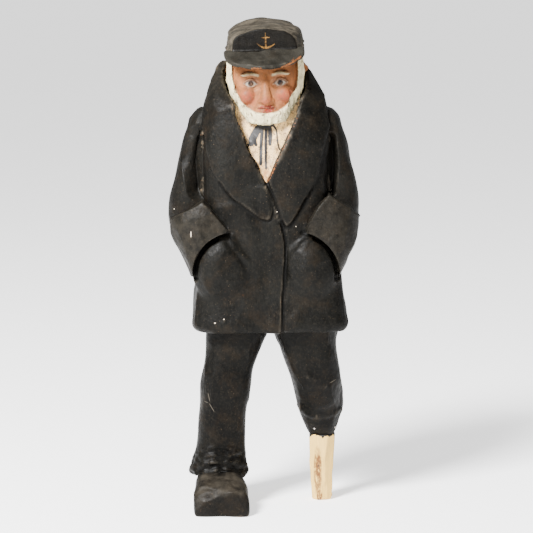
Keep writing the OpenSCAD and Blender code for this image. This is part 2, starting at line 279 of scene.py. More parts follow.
def smoothstep(x):
    x = np.clip(x, 0, 1)
    return x * x * (3 - 2 * x)


def along_line(points, line):
    """Distance of flat points from a line of straight runs."""
    best = np.full(len(points), 1e9)
    for start, end in zip(line, line[1:]):
        start, end = np.array(start, float), np.array(end, float)
        run = end - start
        t = np.clip((points - start) @ run / (run @ run), 0, 1)
        gap = np.linalg.norm(points - start - t[:, None] * run, axis=1)
        best = np.minimum(best, gap)
    return best


def inside_by(points, outline):
    """Signed distance of flat points from a closed outline, positive inside."""
    gap = along_line(points, [*outline, outline[0]])
    odd = np.zeros(len(points), bool)
    for (ax, ay), (bx, by) in zip(outline, [*outline[1:], outline[0]]):
        if ay == by:
            continue
        spans = (ay > points[:, 1]) != (by > points[:, 1])
        odd ^= spans & (points[:, 0] < ax + (points[:, 1] - ay) * (bx - ax) / (by - ay))
    return np.where(odd, gap, -gap)


def curved(points, parts=8):
    """A smooth line through a few points."""
    pts = np.array(points, float)
    pad = np.vstack([2 * pts[0] - pts[1], pts, 2 * pts[-1] - pts[-2]])
    line = []
    for p0, p1, p2, p3 in zip(pad, pad[1:], pad[2:], pad[3:]):
        for t in np.arange(parts) / parts:
            line.append(0.5 * (2 * p1 + (p2 - p0) * t + (2 * p0 - 5 * p1 + 4 * p2 - p3) * t ** 2
                               + (3 * p1 - p0 - 3 * p2 + p3) * t ** 3))
    line.append(pts[-1])
    return line


def shifted(line, x, z):
    """A line in the front view that was drawn around zero, moved to (x, z)."""
    return [(x + across, z + up) for across, up in line]


def front_view(skin):
    return skin.co[:, [0, 2]]


def facing(skin):
    """1 where the surface looks to the front, down to 0 where it turns away."""
    return smoothstep((skin.no @ FRONT - 0.1) / 0.2)


def groove(skin, line, width, depth):
    """A knife-cut groove under a line that is drawn in the front view."""
    gap = along_line(front_view(skin), line)
    skin.push(-depth * np.clip(1 - gap / width, 0, 1) ** 0.8 * facing(skin))


def ridge(skin, line, width, height):
    gap = along_line(front_view(skin), line)
    skin.push(height * smoothstep(1 - gap / width) * facing(skin))


def raised(skin, outline, height, edge):
    """A raised region with a steep edge, such as a lapel."""
    lift = smoothstep(0.5 + inside_by(front_view(skin), outline) / edge)
    skin.push(height * skin.blurred(lift * facing(skin), 2))


def whittle(skin, seed, cuts, length, width, depth, lean=0.1, way=UP, where=None):
    """Long shallow flats, as a knife leaves them. Together they never go much deeper than DEEPEST."""
    rng = np.random.default_rng(seed)
    whole = skin.co.copy()
    allowed = np.flatnonzero(where) if where is not None else np.arange(skin.count)
    for spot in rng.choice(allowed, cuts):
        out = skin.no[spot] + rng.normal(0, lean, 3)
        out /= np.linalg.norm(out)
        run = way + rng.normal(0, 0.15, 3)
        run -= out * (run @ out)
        if np.linalg.norm(run) < 0.3:
            continue
        run /= np.linalg.norm(run)
        reach = length * rng.uniform(0.6, 1.4)
        wide = width * rng.uniform(0.7, 1.3)
        deep = depth * rng.uniform(0.5, 1.3)
        away = skin.co - skin.co[spot]
        far = np.sqrt(np.einsum("ij,ij->i", away, away))
        near = np.flatnonzero(far < 1.3 * reach)
        away, far = away[near], far[near]
        along, across, height = away @ run, away @ np.cross(out, run), away @ out
        floor = deep * ((along / reach) ** 2 + 0.25 * (across / wide) ** 2) - deep
        over = np.clip(height - floor, 0, 1.6 * deep) * (skin.no[near] @ out > 0.3) * smoothstep(2.5 - height)
        fade = smoothstep(1.6 - np.abs(across) / wide) * smoothstep((1.3 - far / reach) / 0.5)
        skin.co[near] -= (over * fade)[:, None] * out
    moved = skin.co - whole
    size = np.maximum(np.linalg.norm(moved, axis=1), 1e-6)
    skin.co = whole + moved * (DEEPEST * np.tanh(size / DEEPEST) / size)[:, None]
    skin.refresh()


def lumps(points, seed, size, levels=2):
    """A smooth random field, from a few hundred waves of about one size."""
    rng = np.random.default_rng(seed)
    total = np.zeros(len(points))
    for _ in range(14 * levels):
        wave = rng.normal(0, 1, 3)
        wave *= 2 * math.pi / (size * rng.uniform(0.7, 1.6) * np.linalg.norm(wave))
        total += np.sin(points @ wave + rng.uniform(0, 6.3))
    return total / math.sqrt(7 * levels)


def hand_wobble(skin, seed, size, depth):
    skin.push(depth * lumps(skin.co, seed, size))


def note_wear(skin, share, fine=6):
    """Stores the share of the surface that hands have rubbed, and the deepest hollows, where the dark paints
    get painted shade and the face gets grime.
    """
    stands = skin.relief(fine)
    low, high = np.quantile(stands, [1 - share, 1 - share / 12])
    skin.write("worn", smoothstep((stands - low) / (high - low)))
    # the deepest hollows: painted shade on the dark paints, grime on the face
    low, high = np.quantile(-stands, [0.93, 0.995])
    skin.write("sunk", smoothstep((-stands - low) / (high - low)))


def note_bare(skin, strokes):
    """Stores scrapes in the paint. A stroke is (line in the front view, half width, strength)."""
    total = np.zeros(skin.count)
    for line, width, strength in strokes:
        gap = along_line(front_view(skin), line)
        total = np.maximum(total, strength * smoothstep(1.4 - gap / width))
    skin.write("bare", total * facing(skin))


def note_ink(skin, strokes):
    """Stores how deep inside a brush stroke each point lies. A stroke is (line, half widths)."""
    depth = np.full(skin.count, -1.0)
    for line, widths in strokes:
        line = curved(line, 5)
        half = np.interp(np.linspace(0, 1, len(line)), np.linspace(0, 1, len(widths)), widths)
        for start, end, w in zip(line, line[1:], half):
            depth = np.maximum(depth, w - along_line(front_view(skin), [start, end]))
    skin.write("ink", np.where(facing(skin) > 0.3, depth, -1.0))


# ---------------------------------------------------------------- the coat

LEDGE_Z = HEM_Z + 23       # underside of the forearms
SHIRT_BACK = -5.0
COLLAR_SLOPE = math.radians(45)
HEAD_GAP = 0.35
ARM_SEAT = 0.8             # how far the arms are let into the coat
LAPEL_EDGES = {
    RIGHT: [(-27, 1), (-26, -5), (-24.4, -12), (-22.8, -21), (-19.4, -27.5), (-14.6, -34), (-9.5, -37.5),
            (-3, -42.3), (1.4, -42.6), (2.6, -38.6)],
    LEFT: [(27, 1), (25.4, -6), (22.6, -16), (20.6, -26), (16.6, -34), (12.6, -41.5), (9, -45.8),
           (5.6, -43.5)],
}


def on_neck():
    """Where the head's own frame stands: tilted forward, and a little to its right."""
    pivot = Matrix.Translation((0, 0, 20))
    return (Matrix.Translation((HEAD_X, NECK_Y, SEAT_Z)) @ Matrix.Rotation(HEAD_TILT, 4, "X")
            @ pivot @ Matrix.Rotation(HEAD_ROLL, 4, "Y") @ pivot.inverted())


def head_rings(grow=0.0):
    """The egg shape of head and beard, in the head's own frame."""
    half = 16.2 + grow
    return [
        [-1.4 - max(grow, 0), 0, -15.5, 2.5, 2.5, 2],
        [-0.6, 0, -14.5, 7 + grow, 5 + grow, 2],
        [1.6, 0, -11.5, half - 6, 9 + grow, 2.2],
        [5, 0, -8, half - 3.6, 13 + grow, 2.3],
        [9, 0, -4.6, half - 1.4, 15.6 + grow, 2.4],
        [14, 0, -2.4, half + 0.1, 16.8 + grow, 2.4],
        [20, 0, -0.8, half, 16.6 + grow, 2.3],
        [HEAD_H + grow, 0, 0, half - 0.6, 15.8 + grow, 2.2],
    ]


def neck_cutters():
    room = bmesh.new()
    stack(room, head_rings(HEAD_GAP), sides=48, place=on_neck())
    x, z, v = MID_X, SEAT_Z, V_BOTTOM_Z
    vee = [(x - 13, z), (x - 0.4, v), (x + 0.4, v), (x + 13, z), (x + 15, z + 30), (x - 15, z + 30)]
    top = bmesh.new()
    bmesh.ops.create_cube(top, size=120)
    low_point = Matrix.Translation((0, shirt_low.y - 3, SEAT_Z - 1))
    lift = low_point @ Matrix.Rotation(COLLAR_SLOPE, 4, "X") @ Matrix.Translation((0, 0, 60))
    bmesh.ops.transform(top, matrix=lift, verts=top.verts)
    return [to_object("head_room", room), prism("vee", vee, -60, SHIRT_BACK), to_object("collar_top", top)]


def coat_rings(shrink=0.0):
    mid, low, seat = MID_X, HEM_Z, SEAT_Z
    rings = [
        [low + 0.3, mid + 1.4, COAT_Y, 31.4, 21.8, 4.6],
        [low + 1.6, mid + 1.4, COAT_Y, 32.4, 22.2, 5],
        [low + 8, mid + 1.4, COAT_Y, 32.3, 22, 5],
        [low + 17, mid + 1.2, COAT_Y, 31.7, 21.8, 4.4],
        [low + 23, mid + 1.2, COAT_Y, 31, 21.6, 4.2],
        [low + 29, mid + 1.2, COAT_Y, 30.3, 21, 4],
        [low + 35, mid + 0.6, COAT_Y, 29, 20.6, 4],
        [low + 42, mid, COAT_Y, 27.2, 20.6, 4],
        [low + 50, mid, COAT_Y, 26.6, 20.6, 4],
        [seat - 18, mid, COAT_Y, 26.6, 20.2, 3.8],
        [seat - 6, mid, COAT_Y, 26.9, 19.2, 3.3],
        [seat + 1, mid - 0.6, COAT_Y + 0.4, 26.4, 18.4, 2.9],
        [seat + 7, mid - 0.9, COAT_Y + 1.2, 24.8, 18, 2.6],
        [seat + 13, mid - 1.6, COAT_Y + 2.4, 22, 16.4, 2.5],
        [seat + 18, mid - 2.4, COAT_Y + 3.4, 18.8, 15, 2.4],
        [seat + 21, mid - 2.4, COAT_Y + 4.4, 16.4, 13, 2.3],
    ]
    return [[z, x, y, half_w - shrink, half_d - shrink, square] for z, x, y, half_w, half_d, square in rings]


def coat_block():
    bm = bmesh.new()
    stack(bm, coat_rings(), sides=64)
    for side in (RIGHT, LEFT):
        ball(bm, (MID_X + side * (POCKET_IN + 4.5), FRONT_Y + 7.5, POCKET_Z + 1), (13.5, 10.4, 17))
    return cut_and_fused("coat", bm, 0.6, neck_cutters())


def lapel_edge(side):
    """The outer edge of a lapel, from the shoulder to its rounded tip near the coat's front edge."""
    return curved(shifted(LAPEL_EDGES[side], MID_X, SEAT_Z), 4)


def front_edge():
    """The line where the coat's two fronts overlap."""
    points = [(-0.4, 0.5), (2.4, -5.5), (4.6, -12), (6.9, -21), (7.6, -27), (7.2, -38), (6.4, -50)]
    return curved(shifted(points, MID_X, V_BOTTOM_Z) + [(MID_X + 6.2, HEM_Z - 2)], 4)


def lapel(side):
    x, z = MID_X, SEAT_Z
    return lapel_edge(side) + [(x, V_BOTTOM_Z - 1), (x + side * 13, z + 2), (x + side * 13, z + 30),
                               (x + side * 34, z + 30)]


def cuff_arc(side, radius, last=78):
    return [(MID_X + side * (POCKET_IN + radius * math.cos(a)), POCKET_Z + radius * math.sin(a))
            for a in np.radians(np.arange(-8, last + 1, 4))]


def carve_coat(skin):
    skin.soften(3)
    hand_wobble(skin, 3, 30, 0.3)
    front = skin.no[:, 1] < -0.5
    whittle(skin, 11, 60, 15, 7, 0.55, lean=0.07, where=front & (skin.co[:, 2] > POCKET_Z))
    whittle(skin, 13, 44, 10, 5.5, 0.5, where=front & (skin.co[:, 2] < POCKET_Z))
    whittle(skin, 12, 300, 14, 6, 0.5, where=~front)
    skin.soften(1)
    for side in (RIGHT, LEFT):
        raised(skin, lapel(side), 1.25, 1.1)
        lower_half = lapel_edge(side)[16:]
        groove(skin, shifted(lower_half, -side * 0.2, -0.6), 1.0, 0.5)
    edge = front_edge()
    gap = along_line(front_view(skin), edge)
    upwards = np.array(edge[::-1])
    flap_side = np.interp(skin.co[:, 2], upwards[:, 1], upwards[:, 0]) - skin.co[:, 0]
    below_v = smoothstep((V_BOTTOM_Z - skin.co[:, 2]) / 2)
    lift = smoothstep(0.5 + flap_side / 0.8) * smoothstep(1 - gap / 12) * below_v
    skin.push(0.7 * lift * facing(skin))
    groove(skin, shifted(edge, 0.6, 0), 0.9, 0.9)
    for side in (RIGHT, LEFT):
        groove(skin, cuff_arc(side, CUFF_R - 1.5, 66), 1.6, 1.7)
        groove(skin, cuff_arc(side, CUFF_R - 1.2, 84), 1.1, 0.8)
    groove(skin, curved(shifted([(-16, 13), (-12, 8), (-8, 2.5)], MID_X, POCKET_Z)), 1.6, 0.5)


def coat_marks(skin):
    """Scrapes along the V opening, at the right shoulder and on the skirt."""
    x, z, v = MID_X, SEAT_Z, V_BOTTOM_Z
    note_bare(skin, [
        ([(x - 12.6, z - 1), (x - 0.6, v + 0.5)], 0.55, 0.75),
        ([(x + 12.8, z - 1), (x + 0.6, v + 0.5)], 0.6, 0.8),
        ([(x - 25, z - 4), (x - 24.6, z - 14)], 0.9, 0.5),
        ([(x + 21, HEM_Z + 15), (x + 25, HEM_Z + 12)], 3.4, 0.5),
        ([(x - 17, HEM_Z + 17.5), (x - 16.4, HEM_Z + 18.2)], 1.2, 0.6),
        ([(x - 9.6, HEM_Z + 16.3), (x - 9, HEM_Z + 16.8)], 0.9, 0.6),
    ])


# ---------------------------------------------------------------- the arms

ARMS = {RIGHT: ("right_upper_sleeve", "right_forearm"), LEFT: ("left_upper_sleeve", "left_forearm")}
FOLD_RISE = 8.5            # how much higher the elbow's fold is at the coat than outside
PITS = {
    RIGHT: ([(-2, -10), (-4, -18), (-1.5, -31)], 5.5, 5),
    LEFT: ([(0.8, -10), (1.4, -20), (0.6, -32)], 2.4, 4),
}


def elbow_z(side):
    return POCKET_Z + (25 if side > 0 else 22)


def below_crease(side, tuck=3.0):
    """Cuts away what is below the fold at the elbow, less what tucks into the forearm."""
    inner = Vector((flat_x(side), elbow_z(side) + FOLD_RISE - tuck))
    outer = Vector((outer_x(ARMS[side][1], side), elbow_z(side) - 1 - tuck))
    run = (outer - inner).normalized() * 60
    start, end = inner - run, outer + run
    return prism("crease", [start, end, (end.x, end.y - 200), (start.x, start.y - 200)], -90, 90)


def upper_sleeve(side):
    flat = flat_x(side)
    out = abs(outer_x(ARMS[side][1], side) - flat) + (1.1 if side == LEFT else 0.4)
    bm = bmesh.new()
    levels = [(-62, 0.8, 4, 10), (-50, 0.92, 4, 11.5), (-42, 0.98, 4.6, 12.6), (-34, 0.96, 5, 13),
              (-27, 0.85, 5, 13), (-18, 0.72, 5, 12.8), (-10, 0.59, 5, 12), (-5, 0.48, 5, 11),
              (-1, 0.38, 5, 9.8), (2, 0.18, 5, 8)]
    rings = []
    for up, share, y, half_d in levels:
        reach = share * out
        rings.append([SEAT_Z + up, flat + side * (reach - 6) / 2, y, (reach + 6) / 2, half_d, 2.4])
    stack(bm, rings)
    ob = cut_and_fused(ARMS[side][0] + "_wood", bm, 0.5,
                       [ring_cutter("coat_side", coat_rings(ARM_SEAT), 64), below_crease(side)])
    skin = Skin(ob)
    skin.soften(2)
    hand_wobble(skin, 21 + side, 18, 0.2)
    whittle(skin, 31 + side, 80, 13, 5, 0.5, where=side * (skin.co[:, 0] - flat) > 2)
    skin.soften(1)
    line, width, depth = PITS[side]
    groove(skin, curved(shifted(line, flat, SEAT_Z)), width, depth)
    return ob, skin


def above_forearm(side):
    """Cuts away what is above the forearm: from the pocket up to the fold, and along it."""
    def at(out, up):
        return MID_X + side * out, POCKET_Z + up

    flat, fold = CHEST_HALF, elbow_z(side) - POCKET_Z
    reach = abs(outer_x(ARMS[side][1], side) - flat_x(side))
    return prism("above", [
        at(16, 15), at(16, 19), at(flat - 5, fold + 2.6), at(flat, fold + FOLD_RISE),
        at(flat + reach, fold - 1), at(flat + 4 * reach, fold - 6), at(flat + 4 * reach, 200),
        at(-60, 200), at(-60, 15),
    ], -90, 90)


def forearm(side):
    flat = flat_x(side)
    out = abs(outer_x(ARMS[side][1], side) - flat) + (0.8 if side == LEFT else -0.9)
    elbow = elbow_z(side)
    bm = bmesh.new()
    stack(bm, [
        [LEDGE_Z - 5, flat + side * (out - 19), -9, 9, 9, 2.4],
        [LEDGE_Z + 1, flat + side * (out - 20), -8.5, 11.6, 11.5, 2.6],
        [LEDGE_Z + 8, flat + side * (out - 20), -7, 14.8, 14, 2.7],
        [LEDGE_Z + 16, flat + side * (out - 19), -5, 18, 16, 2.7],
        [elbow, flat + side * (out - 18), -3.5, 18, 17, 2.6],
        [elbow + 12, flat + side * (out - 19), -2.5, 18, 15, 2.5],
    ], sides=56)
    across = bmesh.new()
    middle = Matrix.Translation((MID_X + side * POCKET_IN, 0, POCKET_Z))
    lying = Matrix.Rotation(math.pi / 2, 4, "X")
    radius = CUFF_R - 0.9
    bmesh.ops.create_cone(across, cap_ends=True, segments=72, radius1=radius, radius2=radius, depth=120,
                          matrix=middle @ lying)
    ob = cut_and_fused(ARMS[side][1] + "_wood", bm, 0.45, [
        ring_cutter("coat_side", coat_rings(ARM_SEAT), 64),
        above_forearm(side),
        to_object("pocket_round", across),
        slab("ledge", (-90, -90, LEDGE_Z - 60), (90, 90, LEDGE_Z)),
    ])
    skin = Skin(ob)
    skin.soften(2)
    clear = (side * (skin.co[:, 0] - flat) > 1.5) | (skin.co[:, 1] < FRONT_Y + 1)
    shown = clear & (skin.co[:, 2] > LEDGE_Z + 12)
    hand_wobble(skin, 51 + side, 15, 0.2)
    downward = np.array((-side * 0.6, -0.2, -0.8))
    whittle(skin, 61 + side, 60, 10, 5, 0.45, way=downward, where=shown)
    skin.soften(1)
    return ob, skin


# ---------------------------------------------------------------- the head

EYE_X, EYE_Z = 6.0, 16.0
MOUTH_Z = 6.0
FACE_HALF = [(0, 4.2), (4.2, 4.5), (8.2, 6.6), (11, 9.8), (12.7, 13.5), (13.5, 17.5), (13.7, 27)]
FACE = FACE_HALF + [(-x, z) for x, z in FACE_HALF[:0:-1]]

SKIN_TONE = np.array((0.21, 0.074, 0.026))
BLUSH = np.array((0.18, 0.032, 0.016))
WHISKER = np.array((0.64, 0.56, 0.32))
LIP_RED = np.array((0.14, 0.010, 0.006))
EYE_WHITE = np.array((0.22, 0.19, 0.15))
EYE_DARK = np.array((0.003, 0.003, 0.004))
LID_LINE_AND_SOCKET_SHADE = np.array((0.14, 0.06, 0.035))


def skin_front(z):
    """How far forward the bare face stands at a height."""
    rings = np.array(head_rings(-1.5))
    return float(np.interp(z, rings[:, 0], rings[:, 2] - rings[:, 4]))


def add_features(bm):
    """Nose, cheeks, lips, eyes and ears, on the proportions of a drawing book."""
    tip = skin_front(9)
    stack(bm, [
        [7.9, 0, tip + 0.6, 2.2, 1.6, 2],
        [9, 0, tip - 0.2, 2.7, 2.5, 2],
        [10.6, 0, tip + 0.1, 2.4, 2.4, 2],
        [13.6, 0, skin_front(13.6) + 0.2, 1.8, 1.9, 2],
        [17, 0, skin_front(17) + 0.4, 1.5, 1.4, 2],
        [19.6, 0, skin_front(19.6) + 0.8, 1.6, 1, 2],
    ], sides=24)
    ball(bm, (0, tip - 0.6, 9.4), (2.1, 2.2, 1.9))
    ball(bm, (0, skin_front(6.6) + 0.5, MOUTH_Z + 0.75), (3.4, 1.2, 0.8))
    ball(bm, (0, skin_front(5) + 0.6, MOUTH_Z - 0.85), (3, 1.5, 0.9))
    for side in (RIGHT, LEFT):
        ball(bm, (side * 2.1, tip + 0.3, 9), (1.4, 1.7, 1.3))
        ball(bm, (side * 7.4, skin_front(11) + 3.4, 11), (4.2, 4.2, 3.8))
        ball(bm, (side * 6, skin_front(19.4) + 1.1, 19.6), (4.4, 1.6, 1.1))
        ball(bm, (side * EYE_X, skin_front(EYE_Z) + 3.1, EYE_Z), (2.9, 2.9, 2.9))
        stand_out = 3.2 if side == LEFT else 1.8
        ball(bm, (side * 15.2, 3, 16), (stand_out, 3.4, 4.8))


def whiskers():
    """The hair, sideburns and beard round the open face."""
    bm = bmesh.new()
    stack(bm, head_rings(), sides=56)
    return cut_and_fused("whiskers", bm, 0.4, [prism("open_face", FACE, -60, -2)])


def skull():
    bm = bmesh.new()
    stack(bm, head_rings(-1.5), sides=56)
    hollows = []
    for side in (RIGHT, LEFT):
        hollow = bmesh.new()
        ball(hollow, (side * EYE_X, skin_front(EYE_Z) - 1.3, EYE_Z - 0.1), (4.3, 3.1, 2.9))
        hollows.append(to_object("hollow", hollow))
    return cut_and_fused("skull", bm, 0.4, hollows)


def head_block():
    bm = bmesh.new()
    for part in (skull(), whiskers()):
        bm.from_mesh(part.data)
        bpy.data.objects.remove(part)
    add_features(bm)
    return cut_and_fused("head_wood", bm, 0.28)


def lid(side, rise):
    """A line along an eyelid, from the inner to the outer corner."""
    x, z = EYE_X, EYE_Z
    return curved([(side * (x - 2.7), z - 0.3), (side * (x - 1), z + rise), (side * (x + 1), z + rise),
                   (side * (x + 2.8), z)], 4)


def carve_head(skin):
    skin.soften(2)
    co = skin.co
    hair = smoothstep(0.5 - inside_by(front_view(skin), FACE) / 0.6)
    hair = np.maximum(hair, smoothstep((co[:, 1] + 3) / 1.5))
    mouth = [(-3.3, 0.1), (-1.4, -0.1), (0, 0), (1.4, -0.1), (3.3, 0.1)]
    groove(skin, curved(shifted(mouth, 0, MOUTH_Z)), 0.5, 0.5)
    for side in (RIGHT, LEFT):
        ridge(skin, lid(side, 1.5), 0.7, 0.45)
        ridge(skin, lid(side, -1.3), 0.6, 0.35)
        groove(skin, curved([(side * 2.6, 8.4), (side * 3.8, 7.2), (side * 4.6, 5.6)]), 0.8, 0.3)
    whittle(skin, 71, 420, 3.4, 0.9, 0.3, lean=0.25, where=hair > 0.9)
    whittle(skin, 72, 60, 6, 2.2, 0.3, where=(hair > 0.9) & (np.abs(co[:, 0]) > 8))
    skin.push(0.14 * hair * lumps(co * (1, 1, 0.45), 73, 1.6, 3))
    skin.soften(1)
    return hair


def paint_head(skin, hair):
    co, view = skin.co, front_view(skin)
    front = co[:, 1] < -4
    x, z = np.abs(co[:, 0]), co[:, 2]
    paint = np.tile(SKIN_TONE, (skin.count, 1)) * (1 + 0.12 * lumps(co, 75, 5))[:, None]

    def brush(share, colour):
        nonlocal paint
        paint = paint + np.clip(share, 0, 1)[:, None] * (colour - paint)

    rosy = smoothstep(1.25 - np.hypot((x - 7.6) / 4.4, (z - 10.6) / 3.8))
    brush(0.85 * rosy * front, BLUSH)
    brush(0.6 * smoothstep(1.3 - np.hypot(x / 2.6, (z - 9.3) / 2.2)) * front, BLUSH)
    # painted shade: a darker brown round each eye socket
    brush(0.55 * smoothstep(1.2 - np.hypot((x - EYE_X) / 4.3, (z - EYE_Z - 0.3) / 3)) * front, LID_LINE_AND_SOCKET_SHADE)
    half_lips = [(-1, -1.7), (1.6, -1.5), (3.7, 0.1), (1.8, 1.4), (0, 1.1), (-1, 1.2)]
    lips = inside_by(np.column_stack([x, z]), shifted(half_lips, 0, MOUTH_Z))
    brush(smoothstep(0.5 + lips / 0.35) * front, LIP_RED)
    parting = along_line(view, [(-3.4, MOUTH_Z), (3.4, MOUTH_Z)])
    brush(0.7 * smoothstep(1 - parting / 0.4) * front, LIP_RED * 0.25)
    eye = 1 - np.hypot((x - EYE_X) / 2.5, (z - EYE_Z - 0.05) / 1.35)
    brush(smoothstep(eye / 0.16) * front, EYE_WHITE)
    iris = np.hypot(x - EYE_X, z - EYE_Z - 0.1)
    brush(smoothstep((1.35 - iris) / 0.3) * smoothstep(eye / 0.12) * front, EYE_DARK)
    for side in (RIGHT, LEFT):
        brush(smoothstep(1.2 - along_line(view, lid(side, 1.3)) / 0.45) * front, LID_LINE_AND_SOCKET_SHADE * 0.4)
        brush(0.5 * smoothstep(1 - along_line(view, lid(side, -1.2)) / 0.35) * front, LID_LINE_AND_SOCKET_SHADE)
        brow = curved([(side * 3, 19.2), (side * 6, 20.1), (side * 9.4, 19.2)], 4)
        brush(0.8 * smoothstep(1.2 - along_line(view, brow) / 0.7) * front, WHISKER * 0.5)
    ears = smoothstep((1.25 - np.hypot((co[:, 1] - 3) / 3.4, (z - 16) / 4.8)) / 0.12) * (x > 15.4)
    brush(hair * (1 - ears), WHISKER)
    skin.write("paint", paint)
    skin.write("hair", hair * (1 - ears))


# ---------------------------------------------------------------- the cap

PANEL_Y, PANEL_Z, PANEL_LEAN = -13.0, HEAD_H + 4, 0.16
ANCHOR_X = 0.8
SIDEWAYS = np.array([1.0, 0.0, 0.0])


def cap_block():
    h = HEAD_H
    bm = bmesh.new()
    stack(bm, [
        [h - 0.6, 0.3, 0, 15.4, 16, 2.6],
        [h + 0.4, 0.3, 0, 16, 16.6, 2.6],
        [h + 4, 0.3, 0, 16.2, 16.9, 2.9],
        [h + 6.4, 0.3, 0, 15.8, 16.7, 2.8],
        [h + 9.2, 0, 0, 15, 15.9, 2.6],
        [h + 11.4, 0, 0, 12.4, 14, 2.4],
        [h + 12.9, 0, 0.6, 8.8, 10.6, 2.2],
        [h + 13.6, 0, 1, 3.6, 4.6, 2],
    ], sides=56)
    front = bmesh.new()
    turn = Matrix.Rotation(-math.atan(PANEL_LEAN), 4, "X")
    place = Matrix.Translation((0, PANEL_Y, PANEL_Z)) @ turn @ Matrix.Translation((0, -40, 0))
    bmesh.ops.create_cube(front, size=80, matrix=place)
    return cut_and_fused("cap_wood", bm, 0.3, [to_object("panel_front", front)])


def carve_cap(skin):
    skin.soften(2)
    co = skin.co
    normal = np.array((0, -1, PANEL_LEAN)) / math.hypot(1, PANEL_LEAN)
    on_panel = np.abs((co - np.array((0, PANEL_Y, PANEL_Z))) @ normal) < 0.35
    panel = on_panel & (co[:, 2] > HEAD_H + 3.2) & (co[:, 1] < -10)
    hand_wobble(skin, 81, 12, 0.12)
    whittle(skin, 82, 70, 7, 4, 0.4, lean=0.2, way=SIDEWAYS, where=~on_panel)
    band = HEAD_H + 3
    gap = np.abs(skin.co[:, 2] - band)
    skin.push(-0.5 * np.clip(1 - gap / 0.6, 0, 1))
    skin.push(0.4 * smoothstep(1 - np.abs(skin.co[:, 2] - band - 0.9) / 0.7))
    skin.soften(1)
    skin.write("panel", skin.blurred(panel.astype(float), 1))
    # rubbed paint and painted light from above: the whole cap piece takes the paler streaks
    skin.write("fade_and_light", np.ones(skin.count))
    shank = [(0, 11), (0, 8), (0, 5.2)]
    stock = [(-1.6, 9), (0, 9.1), (1.6, 9)]
    arms = [(-3.6, 6.9), (-2, 5.5), (0, 4.9), (2, 5.4), (3.6, 6.3)]
    note_ink(skin, [
        (shifted(shank, ANCHOR_X, HEAD_H), [0.22, 0.34, 0.42]),
        (shifted(stock, ANCHOR_X, HEAD_H), [0.22, 0.34, 0.24]),
        (shifted(arms, ANCHOR_X, HEAD_H), [0.2, 0.36, 0.5, 0.36, 0.2]),
    ])


def visor():
    slope = math.radians(18)
    bm = bmesh.new()
    place = Matrix.Translation((0, -13, HEAD_H + 3.1)) @ Matrix.Rotation(slope, 4, "X")
    stack(bm, [[-1.1, 0, 0, 15.8, 12, 2.2], [-0.7, 0, 0, 16.5, 12.7, 2.2], [0.6, 0, 0, 16.6, 12.8, 2.2],
               [1, 0, 0, 15.9, 12.2, 2.2]], sides=64, smooth=False, place=place)
    ob = cut_and_fused("visor_wood", bm, 0.3, [slab("behind", (-40, -12, -20), (40, 40, 90))])
    skin = Skin(ob)
    skin.soften(2)
    whittle(skin, 91, 26, 5, 2.5, 0.25, lean=0.1, way=SIDEWAYS)
    skin.push(0.12 * lumps(skin.co, 92, 5))
    skin.soften(1)
    return ob, skin


# ---------------------------------------------------------------- the shirt and its tie

SHIRT_LEAN = math.radians(13)
TIE_STROKES = [
    ([(-1.2, -3.5), (0.8, -4.2), (2.6, -3.7)], [1.6, 1.8, 1.3]),
    ([(-0.6, -3.8), (-3, -6.4), (-4.8, -9.6), (-5.6, -12)], [1.3, 1.6, 1.7, 1.0]),
    ([(-5, -10.6), (-7, -13), (-7.4, -15.2)], [0.6, 0.4, 0.25]),
    ([(-4.4, -11), (-3.6, -12.4)], [0.9, 0.7]),
    ([(-0.9, -5), (-1.5, -12), (-1.7, -20.2)], [0.8, 0.75, 0.75]),
    ([(0.5, -5), (0.4, -13), (0.5, -22)], [0.75, 0.65, 0.5]),
    ([(1.9, -4.6), (2.2, -8.4), (2.1, -12.2)], [0.9, 1.0, 0.7]),
    ([(2.4, -3.8), (4.6, -6.2), (5.2, -11), (5.8, -13.8), (7, -15.2)], [0.6, 0.42, 0.4, 0.4, 0.3]),
    ([(6.8, -14), (8.6, -12), (10.6, -10)], [0.3, 0.4, 0.25]),
]


def shirt():
    """A wedge that leans back as it goes up, under the beard, with the ribbon tie painted on it."""
    x, z, v = MID_X, SEAT_Z, V_BOTTOM_Z
    outline = [(x - 14.2, z + 9), (x - 13.2, z), (x - 0.4, v - 0.6), (x + 0.4, v - 0.6), (x + 13.2, z),
               (x + 14.2, z + 9)]
    block = prism("wedge", outline, shirt_low.y, SHIRT_BACK)
    bm = bmesh.new()
    bm.from_mesh(block.data)
    bpy.data.objects.remove(block)
    lean = bmesh.new()
    turn = Matrix.Translation((0, shirt_low.y - 0.4, v)) @ Matrix.Rotation(-SHIRT_LEAN, 4, "X")
    bmesh.ops.create_cube(lean, size=80, matrix=turn @ Matrix.Translation((0, -40, 0)))
    ob = cut_and_fused("shirt_wood", bm, 0.25, [to_object("lean", lean)])
    skin = Skin(ob)
    skin.soften(2)
    crown = np.clip(1 - ((skin.co[:, 0] - x) / 13) ** 2, 0, 1)
    skin.push((0.9 * crown + 0.16 * lumps(skin.co, 101, 5)) * facing(skin))
    whittle(skin, 102, 20, 7, 3, 0.2, lean=0.08, where=skin.no[:, 1] < -0.7)
    skin.soften(1)
    skin.write("stain", smoothstep((v + 12 - skin.co[:, 2]) / 11))
    note_ink(skin, [(shifted(line, x - 0.6, z), widths) for line, widths in TIE_STROKES])
    return ob, skin


# ---------------------------------------------------------------- the legs

SHOE_TUCK = 1.6            # how far the trouser leg reaches into the shoe


def along_leg(rings):
    """Rings with a little more wood on them, for the knife to take off again."""
    return [[z, x, y, half_w + 0.9, half_d + 0.6, square] for z, x, y, half_w, half_d, square in rings]


